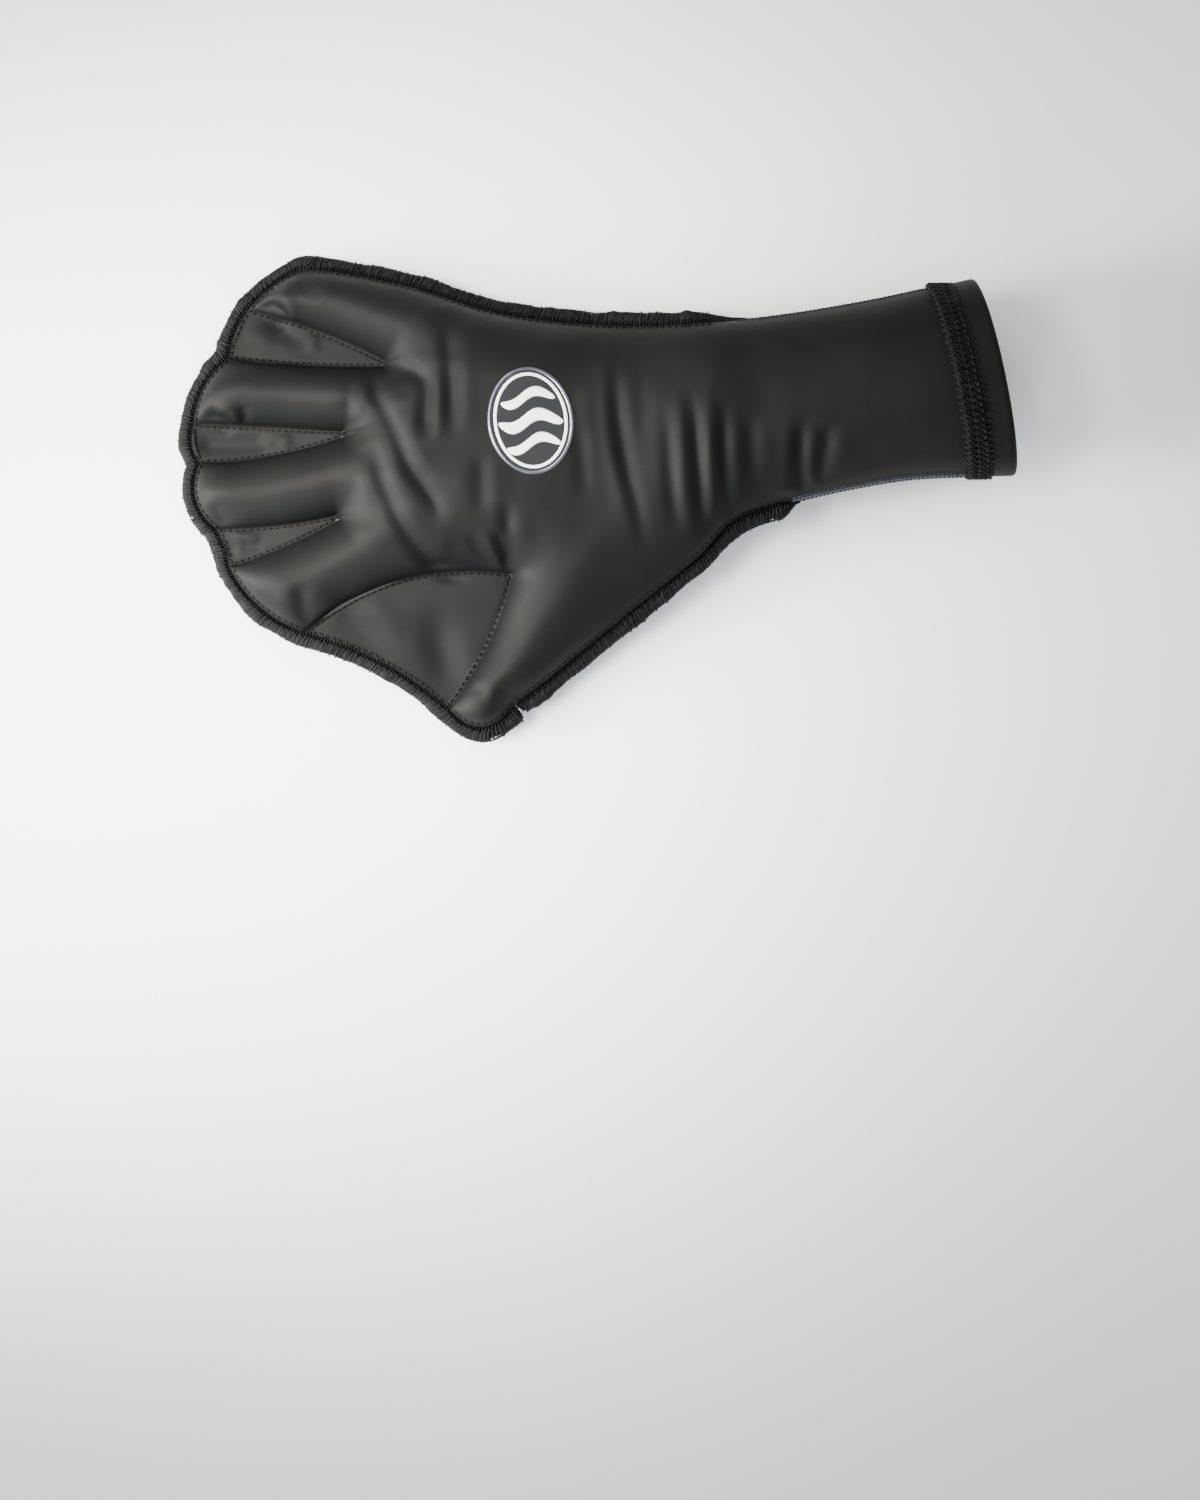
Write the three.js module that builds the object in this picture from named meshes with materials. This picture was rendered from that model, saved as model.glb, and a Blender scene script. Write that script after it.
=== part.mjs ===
// A right-hand webbed swim glove, sewn from a back panel and a palm panel of smooth neoprene, lying palm down.
// The fingers point along -X, the little finger is on the +Y side, the thumb on the -Y side, the back of the hand is up.
// The origin is under the middle of the glove, on the surface that it lies on.
import * as THREE from "three";

// Driving dimensions, in millimetres.
const GLOVE_LENGTH = 306; // fingertip edge to cuff end, as seen from above
const HAND_SPREAD = 177; // little-finger corner to thumb tip, as seen from above
const HAND_DEPTH = 34; // knuckles and palm together at the thickest place
const CUFF_DEPTH = 49; // height of the cuff's oval mouth
const WALL = 2; // one layer of neoprene
const LAYER_GAP = 0.3; // between the two layers where they are sewn flat
const SEAT_GAP = 0.3; // between the panels and what is sewn or pressed on them
const SEAM_WIDTH = 4.8; // overlocked edge, outwards from the stitched line
const SEAM_BULK = 5.4; // overlocked edge, over both layers and the thread
const HEM_DEPTH = 17; // cuff cloth turned back on itself
const HEM_BLEND = 1; // half the length over which the turned cuff thins to one layer
const HEM_FOLD_GAIN = 0.75; // how much thicker the turned cuff is, as a share of the wall
const COVERSTITCH_INSET = 8.8; // cuff end to the coverstitch band
const COVERSTITCH_WIDTH = 8.4;
const COVERSTITCH_BULK = 0.8;
const CUFF_SEAM_WIDTH = 5; // flat side seam of the cuff
const CUFF_SEAM_BULK = 0.8;
const BADGE_HEIGHT = 39; // oval film on the back of the hand
const BADGE_WIDTH = 31;
const BADGE_BULK = 0.5;
const BADGE_TILT = 8; // degrees, top towards the fingers
const BADGE_SEAT = 0.45; // over the facets of the back panel
const WEB_ROOT = 1.6; // spread of the two stitch lines where a web begins
const RAIL_SPREAD = 0.01; // of the same lines on the arm, as a share of the way round it
const FOLD_FADE = 9; // folds die out this far from the side seams
const FLAT_BLEND = 0.8; // rounding where the palm lies flat

// Places on the plan: along is a share of GLOVE_LENGTH from the middle towards the cuff, across is a share of
// HAND_SPREAD from the middle towards the little finger.
const LITTLE_FINGER_EDGE = [
  { station: "cuff", along: 0.443, across: 0.438 },
  { station: "forearm", along: 0.31, across: 0.39 },
  { station: "wrist", along: 0.176, across: 0.358 },
  { station: "heel", along: 0.036, across: 0.349 },
  { station: "crotch", along: -0.11, across: 0.373 },
  { station: "knuckle", along: -0.233, across: 0.436 },
  { station: "tip", along: -0.353, across: 0.47 },
  { station: "beyond", along: -0.379, across: 0.431 },
];
const THUMB_EDGE = [
  { station: "cuff", along: 0.492, across: 0.036 },
  { station: "forearm", along: 0.349, across: 0.027 },
  { station: "wrist", along: 0.178, across: -0.043 },
  { station: "heel", along: 0.112, across: -0.14 },
  { station: "crotch", along: -0.012, across: -0.312 },
  { station: "knuckle", along: -0.066, across: -0.388 },
  { station: "tip", along: -0.099, across: -0.431 },
  { station: "beyond", along: -0.117, across: -0.48 },
];
const STATION = { cuff: 0, forearm: 1, wrist: 2, heel: 3, crotch: 4, knuckle: 5, tip: 6 };

// Each web is a flat triangle between two stitch lines. near and far are where the lines meet the fingertip edge, on the
// little-finger side and on the thumb side. bow is how far a line bends towards the thumb, as a share of its length.
const WEBS = [
  {
    name: "little_ring", root: "knuckle", share: 0.2, crotchShare: 0.23,
    apex: { along: -0.253, across: 0.272 },
    near: { along: -0.418, across: 0.386, bow: -0.03 },
    far: { along: -0.441, across: 0.287, bow: 0.02 },
  },
  {
    name: "ring_middle", root: "knuckle", share: 0.4, crotchShare: 0.49,
    apex: { along: -0.301, across: 0.128 },
    near: { along: -0.483, across: 0.151, bow: 0.0 },
    far: { along: -0.475, across: 0.071, bow: 0.04 },
  },
  {
    name: "middle_index", root: "knuckle", share: 0.6, crotchShare: 0.75,
    apex: { along: -0.309, across: -0.043 },
    near: { along: -0.456, across: -0.066, bow: 0.03 },
    far: { along: -0.44, across: -0.144, bow: 0.03 },
  },
  {
    name: "index_thumb", root: "crotch", share: 0.8, crotchShare: 1,
    apex: { along: -0.103, across: -0.165 },
    near: { along: -0.35, across: -0.28, bow: -0.11 },
    far: { along: -0.178, across: -0.436, bow: 0.05 },
  },
];

// How far each stretch of the fingertip edge bulges beyond its chord, as a share of the chord.
const TIP_BULGE = [0.05, 0.06, 0.1, 0.12, 0.18, -0.06, 0.1, -0.06, 0.31];

const TIP_BULGE_FADE = 3; // the higher, the sooner the bulge dies out away from the tips

const PALM_CENTRE = { along: -0.116, across: 0.117 };
const FINGER_REACH = 0.346; // palm centre to the fingertips, as a share of GLOVE_LENGTH
const ARM_REACH = 0.608; // palm centre to the cuff end, as a share of GLOVE_LENGTH
const ARM_BEGINS = 0.08; // share of the arm's reach where the hand's section starts to turn into the arm's
const ARM_IS_WHOLE = 0.4;

// Heights are shares of HAND_DEPTH. seam is the height of the stitched layer over the surface, back and palm are how far
// the two panels bulge from it, and soft is how far from a seam a panel reaches its full bulge.
const HAND_SECTIONS = [
  { reach: 0, seam: 0.42, back: 0.53, palm: 0.5, soft: 0.82 },
  { reach: 0.25, seam: 0.41, back: 0.53, palm: 0.5, soft: 0.8 },
  { reach: 0.5, seam: 0.375, back: 0.46, palm: 0.46, soft: 0.68 },
  { reach: 0.75, seam: 0.315, back: 0.33, palm: 0.38, soft: 0.46 },
  { reach: 1, seam: 0.26, back: 0.3, palm: 0.33, soft: 0.4 },
  { reach: 1.25, seam: 0.23, back: 0.28, palm: 0.3, soft: 0.36 },
];
// The same for the arm, as shares of CUFF_DEPTH.
const ARM_SECTIONS = [
  { reach: 0, seam: 0.29, back: 0.37, palm: 0.36 },
  { reach: 0.25, seam: 0.335, back: 0.38, palm: 0.34 },
  { reach: 0.5, seam: 0.41, back: 0.385, palm: 0.37 },
  { reach: 0.75, seam: 0.475, back: 0.445, palm: 0.437 },
  { reach: 1, seam: 0.53, back: 0.49, palm: 0.482 },
];

// Soft folds of the back panel: three places on the plan, rise as a share of WALL and width as a share of GLOVE_LENGTH.
const BACK_FOLDS = [
  { name: "wrist_ridge_1", from: [-0.011, 0.29], via: [-0.008, 0.16], to: [-0.012, 0.02], rise: 0.5, width: 0.012 },
  { name: "wrist_ridge_2", from: [0.005, 0.31], via: [0.012, 0.16], to: [0.04, -0.02], rise: 0.6, width: 0.01 },
  { name: "wrist_ridge_3", from: [0.04, 0.31], via: [0.046, 0.18], to: [0.062, 0.02], rise: 0.4, width: 0.013 },
  { name: "wrist_ridge_4", from: [0.094, 0.28], via: [0.098, 0.12], to: [0.112, -0.08], rise: 0.9, width: 0.011 },
  { name: "wrist_ridge_5", from: [0.128, 0.24], via: [0.129, 0.08], to: [0.138, -0.07], rise: 0.95, width: 0.011 },
  { name: "wrist_ridge_6", from: [0.162, 0.19], via: [0.164, 0.07], to: [0.169, -0.04], rise: 0.6, width: 0.011 },
  { name: "wrist_ridge_7", from: [0.232, 0.2], via: [0.23, 0.1], to: [0.222, 0.0], rise: 0.6, width: 0.012 },
  { name: "wrist_ridge_8", from: [0.262, 0.14], via: [0.25, 0.07], to: [0.262, 0.01], rise: 0.5, width: 0.009 },
  { name: "wrist_groove_1", from: [0.024, 0.33], via: [0.027, 0.16], to: [0.052, -0.02], rise: -0.4, width: 0.009 },
  { name: "wrist_groove_2", from: [0.112, 0.22], via: [0.113, 0.08], to: [0.124, -0.08], rise: -0.6, width: 0.009 },
  { name: "wrist_groove_3", from: [0.145, 0.17], via: [0.146, 0.06], to: [0.153, -0.05], rise: -0.6, width: 0.009 },
  { name: "wrist_groove_4", from: [0.246, 0.17], via: [0.238, 0.07], to: [0.252, 0.0], rise: -0.7, width: 0.009 },
  { name: "knuckle_groove_1", from: [-0.26, 0.25], via: [-0.225, 0.11], to: [-0.165, -0.04], rise: -0.9, width: 0.012 },
  { name: "knuckle_groove_2", from: [-0.255, 0.12], via: [-0.245, -0.02], to: [-0.15, -0.16], rise: -0.8, width: 0.014 },
  { name: "knuckle_groove_3", from: [-0.175, 0.37], via: [-0.17, 0.24], to: [-0.172, 0.12], rise: -0.9, width: 0.014 },
];
const PALM_FOLDS = [
  { name: "palm_groove_1", from: [0.1, 0.3], via: [0.105, 0.14], to: [0.115, -0.04], rise: -0.7, width: 0.013 },
  { name: "palm_groove_2", from: [0.16, 0.28], via: [0.165, 0.14], to: [0.175, 0.02], rise: -0.6, width: 0.013 },
];

// Panel mesh: rows in each stretch between stations, and columns in each finger and in each web.
const PANEL_ROWS = [3, 5, 9, 7, 5, 6];
const FINGER_COLUMNS = 5;
const WEB_COLUMNS = [2, 2, 2, 3];
const FOLD_STEPS = 10; // straight pieces that stand for a fold's curve

const mix = THREE.MathUtils.lerp;
const clamp = THREE.MathUtils.clamp;
const smooth = (value, low, high) => THREE.MathUtils.smoothstep(value, low, high);

/** A place on the plan in millimetres. */
function onPlan(place) {
  return new THREE.Vector2(place.along * GLOVE_LENGTH, place.across * HAND_SPREAD);
}

/** Catmull-Rom value at a share of the way from b to c. */
function spline(a, b, c, d, share) {
  const t = share;
  return (
    0.5 *
    (2 * b + (c - a) * t + (2 * a - 5 * b + 4 * c - d) * t * t + (3 * b - a - 3 * c + d) * t * t * t)
  );
}

/** A point of the smooth line through points, which are one station apart. */
function lineAt(points, station) {
  const i = clamp(Math.floor(station), 0, points.length - 2);
  const before = i > 0 ? points[i - 1] : points[0].clone().multiplyScalar(2).sub(points[1]);
  const last = points[points.length - 1];
  const after =
    i + 2 < points.length
      ? points[i + 2]
      : last.clone().multiplyScalar(2).sub(points[points.length - 2]);
  const share = station - i;
  return new THREE.Vector2(
    spline(before.x, points[i].x, points[i + 1].x, after.x, share),
    spline(before.y, points[i].y, points[i + 1].y, after.y, share),
  );
}

const littleFingerEdge = LITTLE_FINGER_EDGE.map(onPlan);
const thumbEdge = THUMB_EDGE.map(onPlan);

/** A stitch line of a web: a bowed curve from its root to the fingertip edge. */
function stitchLine(root, end) {
  const tip = onPlan(end);
  const chord = tip.clone().sub(root);
  const towardsThumb = new THREE.Vector2(-chord.y, chord.x);
  const middle = root.clone().lerp(tip, 0.5).addScaledVector(towardsThumb, 2 * end.bow);
  return new THREE.QuadraticBezierCurve(root, middle, tip);
}

/** The two stitch lines of a web, with the way that each takes through the hand to the cuff. */
function webRails(web) {
  const rootStation = STATION[web.root];
  const apex = onPlan(web.apex);
  const ends = [web.near, web.far];
  return ends.map((end, side) => {
    const step = new THREE.Vector2(0, WEB_ROOT * (0.5 - side));
    const root = apex.clone().add(step);
    const hand = [];
    for (let station = 0; station <= rootStation; station++) {
      const edge = lineAt(littleFingerEdge, station);
      if (station === rootStation) hand.push(root);
      else if (station === STATION.crotch) {
        const thumbRoot = onPlan(WEBS[WEBS.length - 1].apex);
        hand.push(edge.lerp(thumbRoot, web.crotchShare).add(step));
      } else hand.push(edge.lerp(lineAt(thumbEdge, station), web.share).add(step));
    }
    const share = web.share + RAIL_SPREAD * (2 * side - 1);
    return { hand, rootStation, stitches: stitchLine(root, end), share };
  });
}

const webs = WEBS.map(webRails);
const rails = [
  { edge: littleFingerEdge, share: 0 },
  ...webs.flat(),
  { edge: thumbEdge, share: 1 },
];

/** Where a rail of the plan crosses a station. */
function railAt(rail, station) {
  if (rail.edge) return lineAt(rail.edge, station);
  if (station <= rail.rootStation) return lineAt(rail.hand, station);
  const share = (station - rail.rootStation) / (STATION.tip - rail.rootStation);
  return rail.stitches.getPoint(share);
}

/** The plan under a station and a column. Whole columns are rails, and the even spans between them are fingers. */
function planAt(station, column) {
  const span = clamp(Math.floor(column), 0, rails.length - 2);
  const share = column - span;
  const near = railAt(rails[span], station);
  const far = railAt(rails[span + 1], station);
  const place = near.clone().lerp(far, share);
  const nearTip = clamp(station - STATION.knuckle, 0, 1) ** TIP_BULGE_FADE;
  const bulge = TIP_BULGE[span] * nearTip * 4 * share * (1 - share);
  const outwards = new THREE.Vector2(near.y - far.y, far.x - near.x).multiplyScalar(-1);
  place.addScaledVector(outwards, bulge);
  const armShare = smooth(STATION.heel + 0.6 - station, 0, 1.4);
  const edgeNear = railAt(rails[0], station);
  const edgeFar = railAt(rails[rails.length - 1], station);
  if (armShare > 0) {
    const turn = mix(rails[span].share, rails[span + 1].share, share);
    const round = (1 - Math.cos(Math.PI * turn)) / 2;
    place.lerp(edgeNear.clone().lerp(edgeFar, round), armShare);
  }
  return {
    place,
    station,
    fromLittle: place.distanceTo(edgeNear),
    fromThumb: place.distanceTo(edgeFar),
  };
}

/** Distance from a place to a line of points. */
function distanceToLine(place, line) {
  let best = Infinity;
  for (let i = 0; i + 1 < line.length; i++) {
    const chord = line[i + 1].clone().sub(line[i]);
    const share = clamp(place.clone().sub(line[i]).dot(chord) / chord.lengthSq(), 0, 1);
    best = Math.min(best, place.distanceTo(line[i].clone().addScaledVector(chord, share)));
  }
  return best;
}

/** True where a closed line of points goes round a place. */
function isInside(place, ring) {
  let inside = false;
  for (let i = 0, j = ring.length - 1; i < ring.length; j = i++) {
    const [a, b] = [ring[i], ring[j]];
    const crosses = a.y > place.y !== b.y > place.y;
    if (crosses && place.x < ((b.x - a.x) * (place.y - a.y)) / (b.y - a.y) + a.x) inside = !inside;
  }
  return inside;
}

const STITCH_STEPS = 8;
const TIP_STEPS = 6;
const webOutlines = webs.map(([near, far]) => [
  ...near.stitches.getPoints(STITCH_STEPS),
  ...far.stitches.getPoints(STITCH_STEPS).reverse(),
]);
const tipLine = Array.from(
  { length: (rails.length - 1) * TIP_STEPS + 1 },
  (_, i) => planAt(STATION.tip, i / TIP_STEPS).place,
);

/** How far a panel has risen at a distance from a seam: a quarter round of the given softness, then flat. */
function rise(distance, softness) {
  return distance >= softness ? 1 : Math.sqrt(1 - (1 - distance / softness) ** 2);
}

/** A column of a section table at a reach, on the smooth line through its rows. */
function sectionAt(table, key, reach) {
  let i = 0;
  while (i < table.length - 2 && table[i + 1].reach < reach) i++;
  const [b, c] = [table[i], table[i + 1]];
  const share = clamp((reach - b.reach) / (c.reach - b.reach), 0, 1);
  const before = table[Math.max(i - 1, 0)][key];
  const after = table[Math.min(i + 2, table.length - 1)][key];
  return spline(before, b[key], c[key], after, share);
}

/** The glove's section under a place on the plan: seam height, both bulges and the seams' softness. */
function sectionUnder(plan) {
  const centre = onPlan(PALM_CENTRE);
  const fingers = plan.place.distanceTo(centre) / (FINGER_REACH * GLOVE_LENGTH);
  const arm = Math.max(plan.place.x - centre.x, 0) / (ARM_REACH * GLOVE_LENGTH);
  const armShare = smooth(arm, ARM_BEGINS, ARM_IS_WHOLE);
  const blend = (key) =>
    mix(
      HAND_DEPTH * sectionAt(HAND_SECTIONS, key, fingers),
      CUFF_DEPTH * sectionAt(ARM_SECTIONS, key, arm),
      armShare,
    );
  const half = (plan.fromLittle + plan.fromThumb) / 2;
  return {
    seam: blend("seam"),
    back: blend("back"),
    palm: blend("palm"),
    soft: mix(HAND_DEPTH * sectionAt(HAND_SECTIONS, "soft", fingers), half, armShare),
  };
}

/** 1 where the side seams stand out as a flange, 0 where the panels meet edge to edge on the cuff. */
function flangeAt(station) {
  return smooth(station, STATION.wrist - 0.1, STATION.wrist + 0.4);
}

/** The share of its full bulge that a panel has at a place: none on a seam, a web or the fingertip edge. */
function bulgeAt(plan, soft) {
  let bulge = rise(plan.fromLittle, soft) * rise(plan.fromThumb, soft);
  for (const outline of webOutlines) {
    if (isInside(plan.place, outline)) return 0;
    bulge *= rise(distanceToLine(plan.place, outline), soft);
  }
  return bulge * rise(distanceToLine(plan.place, tipLine), soft);
}

/** A height kept over the surface that the glove lies on, with a short rounding into the flat. */
function liftToSurface(height) {
  if (height >= FLAT_BLEND) return height;
  return height <= -FLAT_BLEND ? 0 : (height + FLAT_BLEND) ** 2 / (4 * FLAT_BLEND);
}

/** A point of a panel's outside before its folds. side is 1 for the back of the hand and -1 for the palm. */
function smoothSkin(station, column, side) {
  const plan = planAt(station, column);
  const section = sectionUnder(plan);
  const bulge = (side > 0 ? section.back : section.palm) * bulgeAt(plan, section.soft);
  const height = section.seam + side * (LAYER_GAP / 2 + WALL * flangeAt(station) + bulge);
  return new THREE.Vector3(plan.place.x, plan.place.y, side > 0 ? height : liftToSurface(height));
}

const NUDGE = 0.02; // share of a station or a column over which a slope is measured

/** The outward direction of a panel at a point. On the side seams it turns from upright to level along the wrist. */
function skinNormal(station, column, side) {
  const lastColumn = rails.length - 1;
  const atEdge = column === 0 || column === lastColumn;
  if (atEdge || station === STATION.tip) {
    const inner = railAt(rails[column === 0 ? 1 : lastColumn - 1], station);
    const edge = railAt(rails[column === 0 ? 0 : lastColumn], station);
    const level = edge.sub(inner).normalize();
    const flange = station === STATION.tip ? 1 : flangeAt(station);
    const share = Math.sqrt(Math.max(1 - flange * flange, 0));
    return new THREE.Vector3(level.x * share, level.y * share, side * flange).normalize();
  }
  const stations = [Math.max(station - NUDGE, 0), Math.min(station + NUDGE, STATION.tip)];
  const columns = [Math.max(column - NUDGE, 0), Math.min(column + NUDGE, lastColumn)];
  const along = smoothSkin(stations[1], column, side).sub(smoothSkin(stations[0], column, side));
  const across = smoothSkin(station, columns[1], side).sub(smoothSkin(station, columns[0], side));
  const normal = along.cross(across).normalize();
  return normal.z * side < 0 ? normal.negate() : normal;
}

/** The curve of a fold on the plan. */
function foldLine(fold) {
  const [from, via, to] = [fold.from, fold.via, fold.to].map(([along, across]) => onPlan({ along, across }));
  const middle = via.clone().multiplyScalar(2).sub(from.clone().lerp(to, 0.5));
  return new THREE.QuadraticBezierCurve(from, middle, to).getPoints(FOLD_STEPS);
}

const foldsOf = (table) => table.map((fold) => ({ ...fold, line: foldLine(fold) }));
const folds = { back: foldsOf(BACK_FOLDS), palm: foldsOf(PALM_FOLDS) };

/** How far the folds lift a panel at a place. */
function foldHeight(plan, side) {
  let height = 0;
  for (const fold of side > 0 ? folds.back : folds.palm) {
    const width = fold.width * GLOVE_LENGTH;
    const distance = distanceToLine(plan.place, fold.line);
    height += fold.rise * WALL * Math.exp(-((distance / width) ** 2));
  }
  return height * rise(plan.fromLittle, FOLD_FADE) * rise(plan.fromThumb, FOLD_FADE);
}

/** A point of a panel's outside. */
function skin(station, column, side) {
  const point = smoothSkin(station, column, side);
  const height = foldHeight(planAt(station, column), side);
  point.addScaledVector(skinNormal(station, column, side), height);
  if (side < 0) point.z = Math.max(point.z, 0);
  return point;
}

/** Wall thickness: doubled in the turned hem at the cuff's end. */
function wallAt(station) {
  const forearmLength = lineAt(littleFingerEdge, 0).distanceTo(lineAt(littleFingerEdge, 1));
  const fromEnd = station * forearmLength;
  return WALL * (1 + HEM_FOLD_GAIN * (1 - smooth(fromEnd, HEM_DEPTH - HEM_BLEND, HEM_DEPTH + HEM_BLEND)));
}

/** The stations of the panels' rows. */
function stationsOf() {
  const stations = [0];
  PANEL_ROWS.forEach((count, stretch) => {
    for (let i = 1; i <= count; i++) stations.push(stretch + i / count);
  });
  return stations;
}

/** Columns of the plan: fingers in round steps, webs in even ones. */
function columnsOf() {
  const columns = [0];
  for (let span = 0; span < rails.length - 1; span++) {
    const isFinger = span % 2 === 0;
    const count = isFinger ? FINGER_COLUMNS : WEB_COLUMNS[(span - 1) / 2];
    for (let i = 1; i <= count; i++) {
      const share = i / count;
      columns.push(span + (isFinger ? (1 - Math.cos(Math.PI * share)) / 2 : share));
    }
  }
  return columns;
}

/** A closed geometry from vertices and triangles, turned so that its faces point out. */
function closedGeometry(vertices, triangles) {
  let volume = 0;
  for (const [a, b, c] of triangles) {
    volume += vertices[a].dot(vertices[b].clone().cross(vertices[c]));
  }
  const order = volume < 0 ? triangles.map(([a, b, c]) => [a, c, b]) : triangles;
  const geometry = new THREE.BufferGeometry();
  const positions = vertices.flatMap((v) => [v.x, v.y, v.z]);
  geometry.setAttribute("position", new THREE.Float32BufferAttribute(positions, 3));
  geometry.setIndex(order.flat());
  geometry.computeVertexNormals();
  return geometry;
}

/** A wall between an outer and an inner grid of points, closed all round. */
function wallBetween(outer, inner) {
  const rows = outer.length;
  const columns = outer[0].length;
  const vertices = [...outer.flat(), ...inner.flat()];
  const at = (layer, i, j) => layer * rows * columns + i * columns + j;
  const triangles = [];
  const quad = (a, b, c, d) => triangles.push([a, b, c], [a, c, d]);
  for (let i = 0; i + 1 < rows; i++) {
    for (let j = 0; j + 1 < columns; j++) {
      quad(at(0, i, j), at(0, i + 1, j), at(0, i + 1, j + 1), at(0, i, j + 1));
      quad(at(1, i, j), at(1, i, j + 1), at(1, i + 1, j + 1), at(1, i + 1, j));
    }
    quad(at(0, i, 0), at(1, i, 0), at(1, i + 1, 0), at(0, i + 1, 0));
    quad(at(0, i + 1, columns - 1), at(1, i + 1, columns - 1), at(1, i, columns - 1), at(0, i, columns - 1));
  }
  for (let j = 0; j + 1 < columns; j++) {
    quad(at(0, 0, j + 1), at(1, 0, j + 1), at(1, 0, j), at(0, 0, j));
    quad(at(0, rows - 1, j), at(1, rows - 1, j), at(1, rows - 1, j + 1), at(0, rows - 1, j + 1));
  }
  return closedGeometry(vertices, triangles);
}

/** One panel: its outside with folds, and its inside one wall further in, never past the layer that it is sewn to. */
function panelGeometry(side) {
  const columns = columnsOf();
  const outer = [];
  const inner = [];
  for (const station of stationsOf()) {
    outer.push(columns.map((column) => skin(station, column, side)));
    inner.push(
      columns.map((column, j) => {
        const seam = sectionUnder(planAt(station, column)).seam + (side * LAYER_GAP) / 2;
        const point = outer[outer.length - 1][j]
          .clone()
          .addScaledVector(skinNormal(station, column, side), -wallAt(station));
        point.z = side > 0 ? Math.max(point.z, seam) : Math.min(point.z, seam);
        return point;
      }),
    );
  }
  return wallBetween(outer, inner);
}

/** A bar of the given section swept along frames, with flat ends. */
function sweep(frames, section) {
  const vertices = frames.flatMap(({ centre, out, up, scale }) =>
    section.map(([a, b]) =>
      centre.clone().addScaledVector(out, a * scale).addScaledVector(up, b * scale),
    ),
  );
  const sides = section.length;
  const triangles = [];
  for (let i = 0; i + 1 < frames.length; i++) {
    for (let j = 0; j < sides; j++) {
      const next = (j + 1) % sides;
      const [a, b, c, d] = [i * sides + j, i * sides + next, (i + 1) * sides + next, (i + 1) * sides + j];
      triangles.push([a, b, c], [a, c, d]);
    }
  }
  const last = (frames.length - 1) * sides;
  for (let j = 1; j + 1 < sides; j++) {
    triangles.push([0, j + 1, j], [last, last + j, last + j + 1]);
  }
  return closedGeometry(vertices, triangles);
}

const UP = new THREE.Vector3(0, 0, 1);
const SEAM_TAPER = 3; // sections over which an overlock fades into the wrist
const SEAM_TAIL = 0.45; // its size there
const SHARP_TURN = 0.5; // radians at a corner that the overlock goes round in several sections
const CORNER_SECTIONS = 3;

/** The corners of the panels' edge at places given as station and column. */
function edgeCorners(places) {
  return places.map(([station, column]) => {
    const plan = planAt(station, column);
    return new THREE.Vector3(plan.place.x, plan.place.y, sectionUnder(plan).seam);
  });
}

/** The level direction out of the panels, to the left of the way from one corner to the next. */
function leftOf(from, to) {
  return UP.clone().cross(to.clone().sub(from)).normalize();
}

/** An overlocked edge along the panels' edge, just outside it. taper names the end that fades out: start or end. */
function overlockGeometry(corners, taper) {
  const [w, h] = [SEAM_WIDTH / 2, SEAM_BULK / 2];
  const round = 0.45;
  const section = [
    [-w, -h * round], [0, -h], [w, -h * round],
    [w, h * round], [0, h], [-w, h * round],
  ];
  const last = corners.length - 1;
  const frames = corners.flatMap((corner, i) => {
    const before = leftOf(corners[Math.max(i - 1, 0)], corners[Math.max(i, 1)]);
    const after = leftOf(corners[Math.min(i, last - 1)], corners[Math.min(i + 1, last)]);
    const turn = before.angleTo(after);
    const fromEnd = taper === "start" ? i : last - i;
    const scale = mix(SEAM_TAIL, 1, smooth(fromEnd, -0.5, SEAM_TAPER));
    const reach = SEAT_GAP + w * scale;
    const outwardTurn = before.clone().cross(after).z < 0;
    const count = outwardTurn && turn > SHARP_TURN ? CORNER_SECTIONS : 1;
    return Array.from({ length: count }, (_, k) => {
      const share = count > 1 ? k / (count - 1) : 0.5;
      const out = before.clone().lerp(after, share).normalize();
      const shift = count > 1 ? reach : reach / Math.cos(turn / 2);
      return { centre: corner.clone().addScaledVector(out, shift), out, up: UP, scale };
    });
  });
  return sweep(frames, section);
}

/** The overlock of the hand: from the thumb's tip round the webs and fingertips, up the little-finger side. */
function handSeamCorners() {
  const tips = columnsOf().map((column) => [STATION.tip, column]).reverse();
  const side = stationsOf().filter((station) => station >= STATION.wrist && station < STATION.tip);
  return edgeCorners([...tips, ...side.reverse().map((station) => [station, 0])]);
}

const THUMB_SEAM_START = STATION.wrist - 0.41; // station of the thumb side where its overlock ends on the wrist
const CUFF_SEAM_CLEARANCE = 0.05; // in stations, between a cuff seam's end and the overlock's
const THUMB_SEAM_STOP = STATION.tip - 0.3; // station where it stops short of the thumb tip's own overlock

/** The overlock of the thumb's outer side, from the wrist to the thumb's tip. */
function thumbSeamCorners() {
  const side = stationsOf().filter((station) => station >= THUMB_SEAM_START && station <= THUMB_SEAM_STOP);
  return edgeCorners(side.map((station) => [station, rails.length - 1]));
}

/** A station of the cuff at a distance from its end. */
function cuffStation(distance) {
  return distance / lineAt(littleFingerEdge, 0).distanceTo(lineAt(littleFingerEdge, 1));
}

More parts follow.
